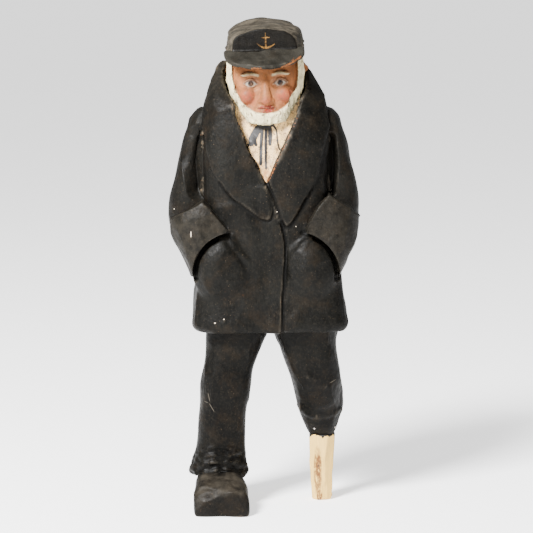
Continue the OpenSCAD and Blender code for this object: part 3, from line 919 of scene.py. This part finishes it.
def shoe_rings(grow=0.0):
    """From the heel to the toe: distance, middle, height, half width."""
    ankle, toe = ANKLE_X, SHOE_X
    rows = [
        (0, ankle + 0.4, 8.5, 4), (1, ankle + 0.4, 11, 6.4), (4, ankle + 0.4, 13.6, 8.8),
        (12, ankle + 0.2, 15.6, 10.6), (20, ankle + 0.4, 17, 11.4), (26, toe - 0.3, 16.6, 11.7),
        (31, toe - 0.2, 15.2, 11.8), (35, toe - 0.2, 13.4, 11.8), (38, toe, 11.8, 11.7),
        (39.5, toe, 10.4, 11.2), (40.3, toe, 8, 10),
    ]
    return [[t, x, top / 2 - 2, half_w + grow, top / 2 + 2 + grow, 2.8] for t, x, top, half_w in rows]


def shoe_place():
    return Matrix.Translation((0, shoe_high.y, 0)) @ Matrix.Rotation(math.pi / 2, 4, "X")


def shoe():
    bm = bmesh.new()
    stack(bm, shoe_rings(), sides=56, place=shoe_place())
    ob = cut_and_fused("shoe_wood", bm, 0.45, [slab("ground", (-90, -90, -40), (90, 90, 0))])
    skin = Skin(ob)
    skin.soften(2)
    hand_wobble(skin, 111, 14, 0.25)
    forward = np.array((0, 1.0, 0))
    whittle(skin, 112, 60, 10, 5, 0.45, lean=0.12, way=forward, where=skin.co[:, 2] > 1)
    top = smoothstep((skin.no[:, 2] - 0.1) / 0.4)
    skin.push(0.08 * top * lumps(skin.co * (1, 0.5, 1), 113, 4))
    skin.soften(2)
    skin.co[:, 2] = np.maximum(skin.co[:, 2], 0)
    skin.refresh()
    # painted light from above: upward-facing parts are stored for paler patches
    skin.write("fade_and_light", skin.blurred(top, 3))
    return ob, skin


def right_leg():
    low = TURN_UP_Z
    bm = bmesh.new()
    stack(bm, along_leg([
        [low - 1.2, -18.9, 1, 10.6, 12, 2.6],
        [low - 0.2, -18.9, 1, 11.6, 13.2, 2.6],
        [low + 3, -18.6, 1, 11.3, 13, 2.6],
        [low + 8, -18.2, 1.4, 10.2, 12.2, 2.6],
        [low + 16, -17.8, 2, 9.6, 11.8, 2.7],
        [low + 25, -16.9, 2, 9.7, 12, 2.7],
        [low + 36, -15.6, 2, 10.3, 12.8, 2.7],
        [low + 46, -14.2, 3, 10.6, 13.8, 2.8],
        [low + 55, -11.8, 4, 11.8, 15, 2.9],
        [HEM_Z, -10.3, 4, 12.8, 15.6, 3],
        [HEM_Z + 3, -10.2, 4, 12.8, 15.6, 3],
    ]))
    foot = ring_cutter("foot", shoe_rings(-SHOE_TUCK), 48, shoe_place())
    ob = cut_and_fused("right_leg_wood", bm, 0.5, [foot])
    skin = Skin(ob)
    skin.soften(2)
    hand_wobble(skin, 121, 18, 0.3)
    whittle(skin, 122, 150, 15, 5.5, 0.55)
    whittle(skin, 123, 30, 6, 2.5, 0.3, where=skin.co[:, 2] < low + 14)
    skin.soften(1)
    for line, wide, high in [
        ([(-30, low + 1.6), (-26, low + 4.6), (-20, low + 6), (-13, low + 5.4), (-7, low + 4)], 2.1, 0.5),
        ([(-28, low + 6), (-22, low + 8.6), (-15, low + 8), (-10, low + 9.4)], 1.6, 0.35),
        ([(-25, low + 10.6), (-19, low + 12), (-13, low + 11)], 1.4, 0.25),
    ]:
        line = curved(line, 5)
        ridge(skin, line, wide, high)
        groove(skin, shifted(line, 0, -wide), 1.3, 0.35)
    skin.push(0.14 * smoothstep((low + 12 - skin.co[:, 2]) / 6) * lumps(skin.co, 124, 3.2, 3))
    return ob, skin


def left_leg():
    low = STUMP_Z
    bm = bmesh.new()
    stack(bm, along_leg([
        [low, 24.8, PEG_Y, 4.7, 5, 2.2],
        [low + 5, 24.4, PEG_Y - 1.4, 6.6, 7.4, 2.3],
        [low + 10.4, 24.3, PEG_Y - 2.6, 8.6, 9.8, 2.4],
        [low + 16, 23.7, 6, 9.6, 11.4, 2.5],
        [low + 21, 23.2, 5, 10.1, 12.4, 2.6],
        [low + 31.5, 20.8, 4, 11, 13.4, 2.8],
        [low + 40, 19, 4, 11.8, 14.6, 2.9],
        [HEM_Z, 18.2, 4, 12.8, 15.6, 3],
        [HEM_Z + 3, 18.2, 4, 12.8, 15.6, 3],
    ]))
    ob = cut_and_fused("left_leg_wood", bm, 0.5)
    skin = Skin(ob)
    skin.soften(2)
    hand_wobble(skin, 131, 16, 0.3)
    whittle(skin, 132, 120, 13, 5, 0.55)
    knee = skin.co[:, 2] < low + 22
    whittle(skin, 133, 24, 6, 3, 0.35, where=knee)
    skin.soften(1)
    ridge(skin, curved([(15, low + 13), (20, low + 9.5), (26, low + 9), (33, low + 11)]), 2.2, 0.5)
    return ob, skin


def peg():
    """An eight-sided stick, with a jagged edge of the stump's paint at its top."""
    bm = bmesh.new()
    top, tip = 6.1, 4.9
    rings = [[-0.1, 0, 0, tip - 1, tip - 1, 2], [0.9, 0, 0, tip, tip, 2], [STUMP_Z, 0, 0, top, top, 2]]
    place = Matrix.Translation((PEG_X + 0.3, PEG_Y, 0)) @ Matrix.Rotation(math.radians(18), 4, "Z")
    stack(bm, rings, sides=8, smooth=False, place=place)
    ob = cut_and_fused("peg_wood", bm, 0.3)
    skin = Skin(ob)
    skin.soften(1)
    whittle(skin, 141, 44, 12, 2.6, 0.25, lean=0.06)
    whittle(skin, 142, 16, 4, 1.6, 0.2, lean=0.1, where=skin.co[:, 2] < 8)
    skin.co[:, 2] = np.maximum(skin.co[:, 2], 0)
    skin.refresh()
    jag = 0.35 * lumps(skin.co * (1, 1, 0), 143, 3.4) + 0.18 * lumps(skin.co * (1, 1, 0), 144, 1.1)
    skin.write("ink", skin.co[:, 2] - (STUMP_Z - 0.9) - jag)
    return ob, skin


def brad_heads(stump):
    """Two round steel heads, a little sunk in the stump."""
    body = bmesh.new()
    body.from_mesh(stump.data)
    shell = BVHTree.FromBMesh(body)
    body.free()
    bm = bmesh.new()
    for turn in (-24, 57):
        out = Matrix.Rotation(math.radians(turn), 3, "Z") @ Vector((0, -1, 0))
        start = Vector((PEG_X, PEG_Y, STUMP_Z + 3))
        far = shell.ray_cast(start + out * 30, -out)[0]
        turned = out.to_track_quat("Z", "Y").to_matrix().to_4x4()
        pin = bmesh.ops.create_cone(bm, cap_ends=True, segments=16, radius1=0.35, radius2=0.35, depth=4,
                                    matrix=Matrix.Translation(far - out * 2.1) @ turned)["verts"]
        cap = bmesh.ops.create_uvsphere(bm, u_segments=20, v_segments=12, radius=1)["verts"]
        flat_cap = Matrix.Translation(far) @ turned @ Matrix.Diagonal((0.42, 0.42, 0.18, 1))
        bmesh.ops.transform(bm, matrix=flat_cap, verts=cap)
    return to_object("brads", bm)


# ---------------------------------------------------------------- finishes

class Finish:
    """A material under construction, with short ways to add its nodes."""

    def __init__(self, name):
        self.material = bpy.data.materials.new(name)
        self.material.use_nodes = True
        self.tree = self.material.node_tree
        self.shader = self.tree.nodes["Principled BSDF"]
        self.place = self.add("ShaderNodeTexCoord").outputs["Object"]

    def add(self, kind, **values):
        made = self.tree.nodes.new(kind)
        for key, value in values.items():
            if hasattr(value, "links"):
                self.tree.links.new(value, made.inputs[key])
            elif key in made.inputs:
                made.inputs[key].default_value = value
            else:
                setattr(made, key, value)
        return made

    def noise(self, size_mm, detail=3.0, rough=0.55, stretch=(1, 1, 1), seed=0.0):
        """Noise whose lumps are about size_mm across, drawn out along an axis by stretch below 1."""
        mapping = self.add("ShaderNodeMapping", Vector=self.place)
        mapping.inputs["Location"].default_value = (seed, seed * 0.7, seed * 1.3)
        mapping.inputs["Scale"].default_value = stretch
        made = self.add("ShaderNodeTexNoise", Vector=mapping.outputs["Vector"], Scale=1 / (size_mm * MM),
                        Detail=detail, Roughness=rough)
        return made.outputs["Fac"]

    def spot(self, centre, radii, turn=0.0):
        """1 inside an egg-shaped spot given in millimetres, 0 outside it."""
        mapping = self.add("ShaderNodeMapping", Vector=self.place, vector_type="TEXTURE")
        mapping.inputs["Location"].default_value = Vector(centre) * MM
        mapping.inputs["Rotation"].default_value = (0, math.radians(turn), 0)
        mapping.inputs["Scale"].default_value = Vector(radii) * MM
        far = self.add("ShaderNodeVectorMath", operation="LENGTH")
        self.tree.links.new(mapping.outputs["Vector"], far.inputs[0])
        return self.ramp(far.outputs["Value"], (0.7, 1.0), (1.0, 0.0))

    def spots(self, *places):
        total = 0.0
        for place in places:
            total = self.math("MAXIMUM", self.spot(*place), total)
        return total

    def stored(self, name, output="Fac"):
        """What the carving stored on the surface under a name."""
        return self.add("ShaderNodeAttribute", attribute_name=name).outputs[output]

    def math(self, operation, a, b=0.5, clamp=False):
        made = self.add("ShaderNodeMath", operation=operation, use_clamp=clamp)
        for socket, value in zip(made.inputs, (a, b)):
            if hasattr(value, "links"):
                self.tree.links.new(value, socket)
            else:
                socket.default_value = value
        return made.outputs["Value"]

    def ramp(self, value, *stops):
        """A colour or grey ramp. Each stop is (position, colour or grey)."""
        made = self.add("ShaderNodeValToRGB", Fac=value)
        elements = made.color_ramp.elements
        while len(elements) < len(stops):
            elements.new(0.5)
        for element, (position, colour) in zip(elements, stops):
            element.position = position
            if isinstance(colour, (int, float)):
                colour = (colour, colour, colour)
            element.color = (*colour, 1)
        return made.outputs["Color"]

    def mix(self, share, a, b, blend="MIX"):
        made = self.add("ShaderNodeMix", data_type="RGBA", blend_type=blend)
        for socket, value in zip((made.inputs["Factor"], made.inputs[6], made.inputs[7]), (share, a, b)):
            if hasattr(value, "links"):
                self.tree.links.new(value, socket)
            elif isinstance(value, tuple):
                socket.default_value = (*value, 1)
            else:
                socket.default_value = value
        return made.outputs[2]

    def mottled(self, tone, colour, noise, start, end):
        """Lays a colour over a tone where the noise is high. Start and end are (noise, share)."""
        return self.mix(self.ramp(noise, start, end), tone, colour)

    def over(self, tone, colour, mask, share):
        """Lays a share of a colour over a tone where the mask is."""
        return self.mix(self.math("MULTIPLY", mask, share, True), tone, colour)

    def fixed(self, socket, value):
        self.shader.inputs[socket].default_value = value

    def colour(self, value):
        self.tree.links.new(value, self.shader.inputs["Base Color"])

    def roughness(self, value):
        self.tree.links.new(value, self.shader.inputs["Roughness"])

    def bump(self, *layers):
        """Layers of (height, depth in millimetres), one on the other."""
        normal = None
        for height, depth in layers:
            made = self.add("ShaderNodeBump", Height=height, Distance=depth * MM)
            if normal is not None:
                self.tree.links.new(normal, made.inputs["Normal"])
            normal = made.outputs["Normal"]
        self.tree.links.new(normal, self.shader.inputs["Normal"])


def shade(colour, factor):
    return tuple(c * factor for c in colour)


CHARCOAL = (0.0026, 0.0025, 0.0021)
TROUSER_BLACK = (0.0016, 0.0015, 0.0012)
CAP_GREY = (0.0125, 0.0115, 0.0092)
PANEL_BLACK = (0.0010, 0.0009, 0.0008)
SHOE_BROWN = (0.0030, 0.0027, 0.0023)
DUST = (0.050, 0.042, 0.031)
UMBER = (0.0125, 0.0080, 0.0042)
EDGE_TAN = (0.085, 0.060, 0.036)
RAW_ORANGE = (0.20, 0.065, 0.018)
CHIP_CREAM = (0.55, 0.47, 0.36)
CREAM = (0.80, 0.52, 0.21)
TIE_BLACK = (0.012, 0.011, 0.011)
ANCHOR_OCHRE = (0.17, 0.085, 0.022)
PINE = (0.68, 0.43, 0.11)
KNOT_BROWN = (0.12, 0.040, 0.006)
KNOT_HEART = (0.015, 0.01, 0.008)
BIRCH = (0.50, 0.34, 0.17)
CAP_RUB_AND_TOP_LIGHT = (0.062, 0.052, 0.038)
FACE_BROWN = (0.11, 0.05, 0.024)
FACE_SALLOW = (0.30, 0.14, 0.05)
FACE_PITS = (0.07, 0.035, 0.02)
FACE_GRIME = (0.06, 0.034, 0.018)
FACE_SPECKS = (0.07, 0.05, 0.035)
FACE_RUB = (0.6, 0.45, 0.3)
BEARD_SHADE = (0.40, 0.33, 0.21)
BEARD_CRACKS = (0.10, 0.065, 0.035)
SHIRT_SHADE = (0.44, 0.29, 0.15)
SHIRT_TEA = (0.22, 0.12, 0.05)
SHIRT_PITS = (0.075, 0.045, 0.025)
SHIRT_SPECKS = (0.07, 0.045, 0.03)
SHIRT_RUST = (0.30, 0.115, 0.03)
SHIRT_RUB = (0.75, 0.62, 0.46)
STEEL = (0.62, 0.60, 0.56)
STEEL_RUST = (0.28, 0.20, 0.14)
FLOOR_WHITE = (0.92, 0.92, 0.92, 1)


def dark_paint(f, paint, seed, wear=0.8, chips=(), chipped=0.9, grainy=0.06):
    """Thin black paint brushed on bare wood: streaks along the grain, rubbed edges, and painted shade in the
    cuts.
    """
    worn = f.stored("worn")
    sunk = f.stored("sunk")
    bare = f.stored("bare")
    cloud = f.noise(11, 4, 0.6, seed=seed)
    grain = f.noise(0.55, 4, 0.6, (1, 1, 0.08), seed + 0.1)
    fleck = f.noise(0.55, 2, 0.6, seed=seed + 0.2)
    tone = f.mix(f.ramp(cloud, (0.32, 0.0), (0.68, 1.0)), shade(paint, 0.6), shade(paint, 1.6))
    tone = f.mottled(tone, UMBER, f.noise(8, 5, 0.7, seed=seed + 0.8), (0.5, 0.0), (0.74, 0.5))
    tone = f.mix(f.math("MULTIPLY", f.ramp(grain, (0.52, 0.0), (0.8, 1.0)), grainy), tone, DUST)
    dusty = f.noise(1.1, 5, 0.75, seed=seed + 0.9)
    tone = f.mottled(tone, shade(DUST, 0.6), dusty, (0.5, 0.0), (0.74, 0.22))
    patchy = f.ramp(f.noise(2.2, 4, 0.7, (1, 1, 0.4), seed + 0.3), (0.36, 0.0), (0.62, 1.0))
    rubbed = f.math("MULTIPLY", worn, patchy)
    tone = f.over(tone, DUST, rubbed, wear)
    tone = f.mottled(tone, EDGE_TAN, rubbed, (0.6, 0.0), (1.0, wear))
    tone = f.mottled(tone, RAW_ORANGE, f.math("MULTIPLY", rubbed, fleck), (0.5, 0.0), (0.6, wear))
    scraped = f.math("MULTIPLY", bare, f.noise(0.8, 3, 0.7, seed=seed + 0.7))
    tone = f.mottled(tone, RAW_ORANGE, scraped, (0.34, 0.0), (0.5, 0.9))
    tone = f.mottled(tone, EDGE_TAN, fleck, (0.69, 0.0), (0.74, 0.5))
    # painted shade: the deepest hollows get a darker copy of the paint itself
    tone = f.over(tone, shade(paint, 0.3), sunk, 0.75)
    if chips:
        tone = f.mix(f.math("MULTIPLY", f.spots(*chips), chipped), tone, CHIP_CREAM)
    f.fixed("Specular IOR Level", 0.055)
    f.roughness(f.ramp(f.noise(2.5, 4, 0.6, seed=seed + 0.4), (0.3, 0.36), (0.7, 0.6)))
    strokes = f.noise(0.5, 3, 0.6, (1, 1, 0.12), seed + 0.5)
    f.bump((strokes, 0.06), (f.noise(1.8, 4, 0.55, seed=seed + 0.6), 0.22))
    return tone


def coat_finish():
    f = Finish("coat_paint")
    x, y, z = MID_X, FRONT_Y, POCKET_Z
    tone = dark_paint(f, CHARCOAL, 1.0, chips=[
        ((x - 30.8, y, z + 16.4), (0.3, 12, 1.4)),
        ((x - 38.2, y + 10, z + 25.4), (0.22, 12, 0.25)),
        ((x + 4.4, y, z + 25.4), (0.22, 6, 0.25)),
        ((x + 12.2, y, z + 19.2), (0.2, 6, 0.25)),
        ((x - 17.4, y, z - 18.9), (0.3, 6, 0.25)),
        ((x - 21.1, y, z - 20.5), (0.36, 6, 0.25)),
    ])
    # paler patches: faded paint on the collar, painted light on the arm pieces
    patches = f.ramp(f.noise(3, 5, 0.7, seed=1.7), (0.35, 0.1), (0.65, 0.8))
    f.colour(f.mix(f.math("MULTIPLY", f.stored("fade_and_light"), patches), tone, shade(DUST, 0.5)))
    return f.material


def trouser_finish():
    f = Finish("trouser_paint")
    x, y, z = ANKLE_X, -9, TURN_UP_Z
    f.colour(dark_paint(f, TROUSER_BLACK, 4.0, wear=0.6, chipped=0.1, chips=[
        ((x - 4.4, y, z + 33), (0.13, 8, 2.2), -12),
        ((x - 3.2, y, z + 28.6), (0.14, 8, 2.4), -30),
        ((x - 5.6, y, z + 30.8), (1, 8, 0.12), 10),
        ((PEG_X + 4.6, -6, STUMP_Z + 24.9), (1.7, 9, 0.16), -24),
    ]))
    return f.material


def shoe_finish():
    f = Finish("shoe_paint")
    toe_chip = ((SHOE_X - 0.1, shoe_low.y + 4.5, 9.6), (0.32, 4, 0.32))
    tone = dark_paint(f, SHOE_BROWN, 7.0, wear=0.5, chips=[toe_chip])
    # painted light from above: paler patches on the upward-facing top
    patches = f.ramp(f.noise(7, 4, 0.6, seed=7.7), (0.36, 0.0), (0.66, 0.5))
    f.colour(f.mix(f.math("MULTIPLY", f.stored("fade_and_light"), patches), tone, DUST))
    return f.material


def cap_finish():
    f = Finish("cap_paint")
    tone = dark_paint(f, CAP_GREY, 10.0, wear=0.7, grainy=0.3)
    # partly rubbed paint, partly painted light from above: paler streaks on the cap piece
    streaks = f.ramp(f.noise(2.2, 5, 0.75, (0.35, 1, 1), 10.6), (0.42, 0.1), (0.62, 0.9))
    tone = f.mix(f.math("MULTIPLY", f.stored("fade_and_light"), streaks), tone, CAP_RUB_AND_TOP_LIGHT)
    tone = f.over(tone, PANEL_BLACK, f.stored("panel"), 0.93)
    ink = f.ramp(f.stored("ink"), (0.0, 0.0), (0.18, 1.0))
    thin = f.ramp(f.noise(1.2, 4, 0.7, seed=10.8), (0.4, 0.1), (0.6, 0.9))
    tone = f.mix(f.math("MULTIPLY", ink, thin), tone, ANCHOR_OCHRE)
    f.colour(tone)
    return f.material


def face_finish():
    f = Finish("face_paint")
    hair = f.stored("hair")
    sunk = f.stored("sunk")
    worn = f.stored("worn")
    paint = f.stored("paint", "Color")
    tone = f.mottled(paint, FACE_BROWN, f.noise(1.4, 5, 0.75, seed=13.1), (0.46, 0.0), (0.62, 0.6))
    tone = f.mottled(tone, FACE_SALLOW, f.noise(2.6, 4, 0.7, seed=13.8), (0.54, 0.0), (0.68, 0.4))
    white = f.mottled(paint, BEARD_SHADE, f.noise(2.4, 5, 0.7, seed=13.2), (0.4, 0.0), (0.62, 0.7))
    white = f.mottled(white, BEARD_CRACKS, f.noise(1.3, 2, 0.6, (1, 1, 0.5), 13.9), (0.6, 0.0), (0.66, 0.85))
    tone = f.mottled(tone, FACE_PITS, f.noise(1.4, 2, 0.6, seed=14.2), (0.63, 0.0), (0.7, 0.5))
    tone = f.mix(hair, tone, white)
    grime = f.math("MULTIPLY", sunk, f.ramp(f.noise(1.5, 3, 0.6, seed=13.3), (0.35, 0.2), (0.65, 0.8)))
    tone = f.over(tone, FACE_GRIME, grime, 0.8)
    tone = f.mottled(tone, FACE_SPECKS, f.noise(0.5, 2, 0.6, seed=13.4), (0.66, 0.0), (0.71, 0.65))
    f.colour(f.over(tone, FACE_RUB, worn, 0.12))
    f.fixed("Specular IOR Level", 0.12)
    f.roughness(f.ramp(f.noise(2, 3, 0.6, seed=13.5), (0.3, 0.42), (0.7, 0.6)))
    f.bump((f.noise(0.35, 3, 0.6, (1, 1, 0.3), 13.6), 0.08), (f.noise(1.1, 3, 0.5, seed=13.7), 0.08))
    return f.material


def shirt_finish():
    f = Finish("shirt_paint")
    ink = f.ramp(f.stored("ink"), (0.0, 0.0), (0.15, 1.0))
    tone = f.mottled(CREAM, SHIRT_SHADE, f.noise(4, 5, 0.7, seed=16.1), (0.42, 0.0), (0.6, 0.85))
    tone = f.mottled(tone, SHIRT_TEA, f.noise(1.3, 5, 0.8, (1, 1, 0.6), 16.2), (0.48, 0.0), (0.6, 0.7))
    tone = f.mottled(tone, SHIRT_PITS, f.noise(1.1, 2, 0.6, seed=16.7), (0.6, 0.0), (0.66, 0.8))
    tone = f.mottled(tone, SHIRT_SPECKS, f.noise(0.55, 2, 0.6, seed=16.3), (0.6, 0.0), (0.66, 0.75))
    patches = f.ramp(f.noise(2.2, 4, 0.7, seed=16.9), (0.38, 0.15), (0.6, 0.95))
    tone = f.mix(f.math("MULTIPLY", f.stored("stain"), patches), tone, SHIRT_RUST)
    tone = f.over(tone, SHIRT_RUB, f.stored("worn"), 0.3)
    f.colour(f.mix(ink, tone, TIE_BLACK))
    f.fixed("Specular IOR Level", 0.35)
    f.roughness(f.ramp(f.noise(2, 3, 0.6, seed=16.4), (0.3, 0.45), (0.7, 0.65)))
    f.bump((f.noise(0.45, 3, 0.6, (1, 1, 0.15), 16.5), 0.07), (ink, 0.08))
    return f.material


def wood(name, colour, seed, marks=()):
    """Bare wood with upright grain. A mark is a knot, as (centre and radii, strength, size of its breaks)."""
    f = Finish(name)
    grain = f.noise(0.7, 5, 0.65, (1, 1, 0.06), seed)
    pores = f.noise(0.22, 2, 0.6, (1, 1, 0.05), seed + 0.1)
    tone = f.mottled(colour, shade(colour, 0.66), grain, (0.38, 0.0), (0.72, 0.55))
    tone = f.mottled(tone, shade(colour, 0.5), pores, (0.6, 0.0), (0.75, 0.35))
    cloud = f.noise(6, 3, 0.6, seed=seed + 0.2)
    tone = f.mottled(tone, shade(colour, 1.15), cloud, (0.4, 0.0), (0.7, 0.3))
    for place, strength, size in marks:
        broken = f.ramp(f.noise(size, 4, 0.75, (1, 1, 0.5), seed + 0.3), (0.36, 0.0), (0.54, strength))
        tone = f.mix(f.math("MULTIPLY", f.spot(*place), broken), tone, KNOT_BROWN)
    f.fixed("Specular IOR Level", 0.35)
    f.fixed("Roughness", 0.62)
    f.bump((grain, 0.10), (pores, 0.04))
    return f, tone


def peg_finish():
    x, y = PEG_X - 1.2, PEG_Y - 4
    f, tone = wood("bare_wood", PINE, 19.0, marks=[
        (((x - 0.2, y, 13), (2.1, 4, 12)), 0.85, 1.1),
        (((x + 0.1, y, 15), (1.2, 4, 7)), 1.0, 0.8),
        (((x + 0.6, y, 2), (1.4, 4, 3)), 1.0, 0.9),
    ])
    tone = f.mix(f.spot((x, y, 15), (0.42, 4, 0.42)), tone, KNOT_HEART)
    ink = f.ramp(f.stored("ink"), (0.0, 0.0), (0.12, 1.0))
    f.colour(f.mix(ink, tone, TROUSER_BLACK))
    return f.material


def dowel_finish():
    f, tone = wood("dowel_wood", BIRCH, 22.0)
    f.colour(tone)
    return f.material


def steel_finish():
    f = Finish("brad_steel")
    f.fixed("Metallic", 0.8)
    f.colour(f.mottled(STEEL, STEEL_RUST, f.noise(0.5, 3, 0.6, seed=25.0), (0.4, 0.0), (0.65, 0.8)))
    f.roughness(f.ramp(f.noise(0.4, 3, 0.6, seed=25.1), (0.3, 0.35), (0.7, 0.6)))
    return f.material


# ---------------------------------------------------------------- pieces

def dress(ob, node, material, place=Matrix()):
    ob.data.materials.clear()
    ob.data.materials.append(material)
    ob.data.transform(Matrix.Scale(MM, 4) @ place)
    ob.data.shade_smooth()
    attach(ob, "root")
    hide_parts(node)


# Per arm piece: share of rubbed edges, and how much paler the piece is painted as painted light, most on the
# forearms, which face the key light
SLEEVE_WEAR_AND_LIGHT = {
    "right_upper_sleeve": (0.012, 0.1),
    "right_forearm": (0.035, 0.55),
    "left_upper_sleeve": (0.012, 0.1),
    "left_forearm": (0.035, 0.42),
}


def dress_coat():
    paint = coat_finish()
    coat = coat_block()
    skin = Skin(coat)
    carve_coat(skin)
    note_wear(skin, 0.045)
    coat_marks(skin)
    # faded paint on the collar, paler towards its top
    skin.write("fade_and_light", 0.5 * smoothstep((skin.co[:, 2] - SEAT_Z - 1) / 12))
    dress(coat, "coat_body", paint)
    for side in (RIGHT, LEFT):
        for node, (ob, skin) in zip(ARMS[side], (upper_sleeve(side), forearm(side))):
            wear, fade_and_light = SLEEVE_WEAR_AND_LIGHT[node]
            note_wear(skin, wear)
            # painted light: the whole arm piece is painted paler by a fixed share
            skin.write("fade_and_light", np.full(skin.count, fade_and_light))
            dress(ob, node, paint)


def dress_head():
    neck = on_neck()
    ob = head_block()
    skin = Skin(ob)
    hair = carve_head(skin)
    note_wear(skin, 0.12, 4)
    paint_head(skin, hair)
    dress(ob, "head", face_finish(), neck)
    paint = cap_finish()
    ob = cap_block()
    skin = Skin(ob)
    carve_cap(skin)
    note_wear(skin, 0.1)
    dress(ob, "cap", paint, neck)
    ob, skin = visor()
    note_wear(skin, 0.1)
    h = HEAD_H
    note_bare(skin, [
        ([(7, h - 1.1), (14.6, h + 1.7)], 0.6, 0.95),
        ([(-5, h - 1), (-1.5, h - 1)], 0.7, 0.9),
        ([(11, h + 1.2), (12, h + 1.6)], 0.6, 0.7),
    ])
    dress(ob, "cap_visor", paint, neck)


def dress_rest():
    ob, skin = shirt()
    note_wear(skin, 0.1)
    dress(ob, "shirt_front", shirt_finish())
    paint = trouser_finish()
    ob, skin = right_leg()
    note_wear(skin, 0.02)
    dress(ob, "right_trouser_leg", paint)
    stump, skin = left_leg()
    note_wear(skin, 0.06)
    heads = brad_heads(stump)
    dress(stump, "left_trouser_leg", paint)
    dress(heads, "peg_brads", steel_finish())
    ob, skin = shoe()
    note_wear(skin, 0.08)
    dress(ob, "right_shoe", shoe_finish())
    ob, skin = peg()
    dress(ob, "peg", peg_finish())


def dress_dowels():
    """The dowels stay as they were turned."""
    grain = dowel_finish()
    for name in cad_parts:
        if name.endswith("_dowel"):
            for slot in bpy.data.objects[name].material_slots:
                slot.material = grain


dress_coat()
dress_head()
dress_rest()
dress_dowels()


# ---------------------------------------------------------------- the stage

def studio():
    floor = bmesh.new()
    bmesh.ops.create_grid(floor, x_segments=8, y_segments=8, size=25)
    ground = to_object("floor", floor)
    f = Finish("floor_white")
    f.fixed("Base Color", FLOOR_WHITE)
    f.fixed("Roughness", 0.9)
    f.fixed("Specular IOR Level", 0.1)
    f.fixed("Emission Color", (1, 1, 1, 1))
    f.fixed("Emission Strength", 1.3)
    ground.data.materials.append(f.material)
    world = bpy.data.worlds.new("studio")
    bpy.context.scene.world = world
    world.use_nodes = True
    world.node_tree.nodes["Background"].inputs["Color"].default_value = (1, 1, 1, 1)
    world.node_tree.nodes["Background"].inputs["Strength"].default_value = 0.42


def softbox(name, place, aim, size, watts):
    light = bpy.data.lights.new(name, "AREA")
    light.shape = "RECTANGLE"
    light.size, light.size_y = size
    light.energy = watts
    ob = bpy.data.objects.new(name, light)
    ob.location = place
    ob.rotation_euler = (Vector(aim) - Vector(place)).to_track_quat("-Z", "Y").to_euler()
    bpy.context.collection.objects.link(ob)


def camera():
    distance, elevation, width = 1.0, math.radians(7), 0.2227
    aim = Vector((0.0016, 0, 0.1008))
    lens = bpy.data.cameras.new("camera")
    lens.sensor_width = 36
    lens.lens = lens.sensor_width * distance / width
    lens.clip_start = 0.05
    ob = bpy.data.objects.new("camera", lens)
    ob.location = aim + Vector((0, -math.cos(elevation), math.sin(elevation))) * distance
    ob.rotation_euler = (aim - ob.location).to_track_quat("-Z", "Y").to_euler()
    bpy.context.collection.objects.link(ob)
    bpy.context.scene.camera = ob


studio()
softbox("key", (-0.52, -0.78, 0.85), (0, 0, 0.1), (0.3, 0.3), 84)
camera()
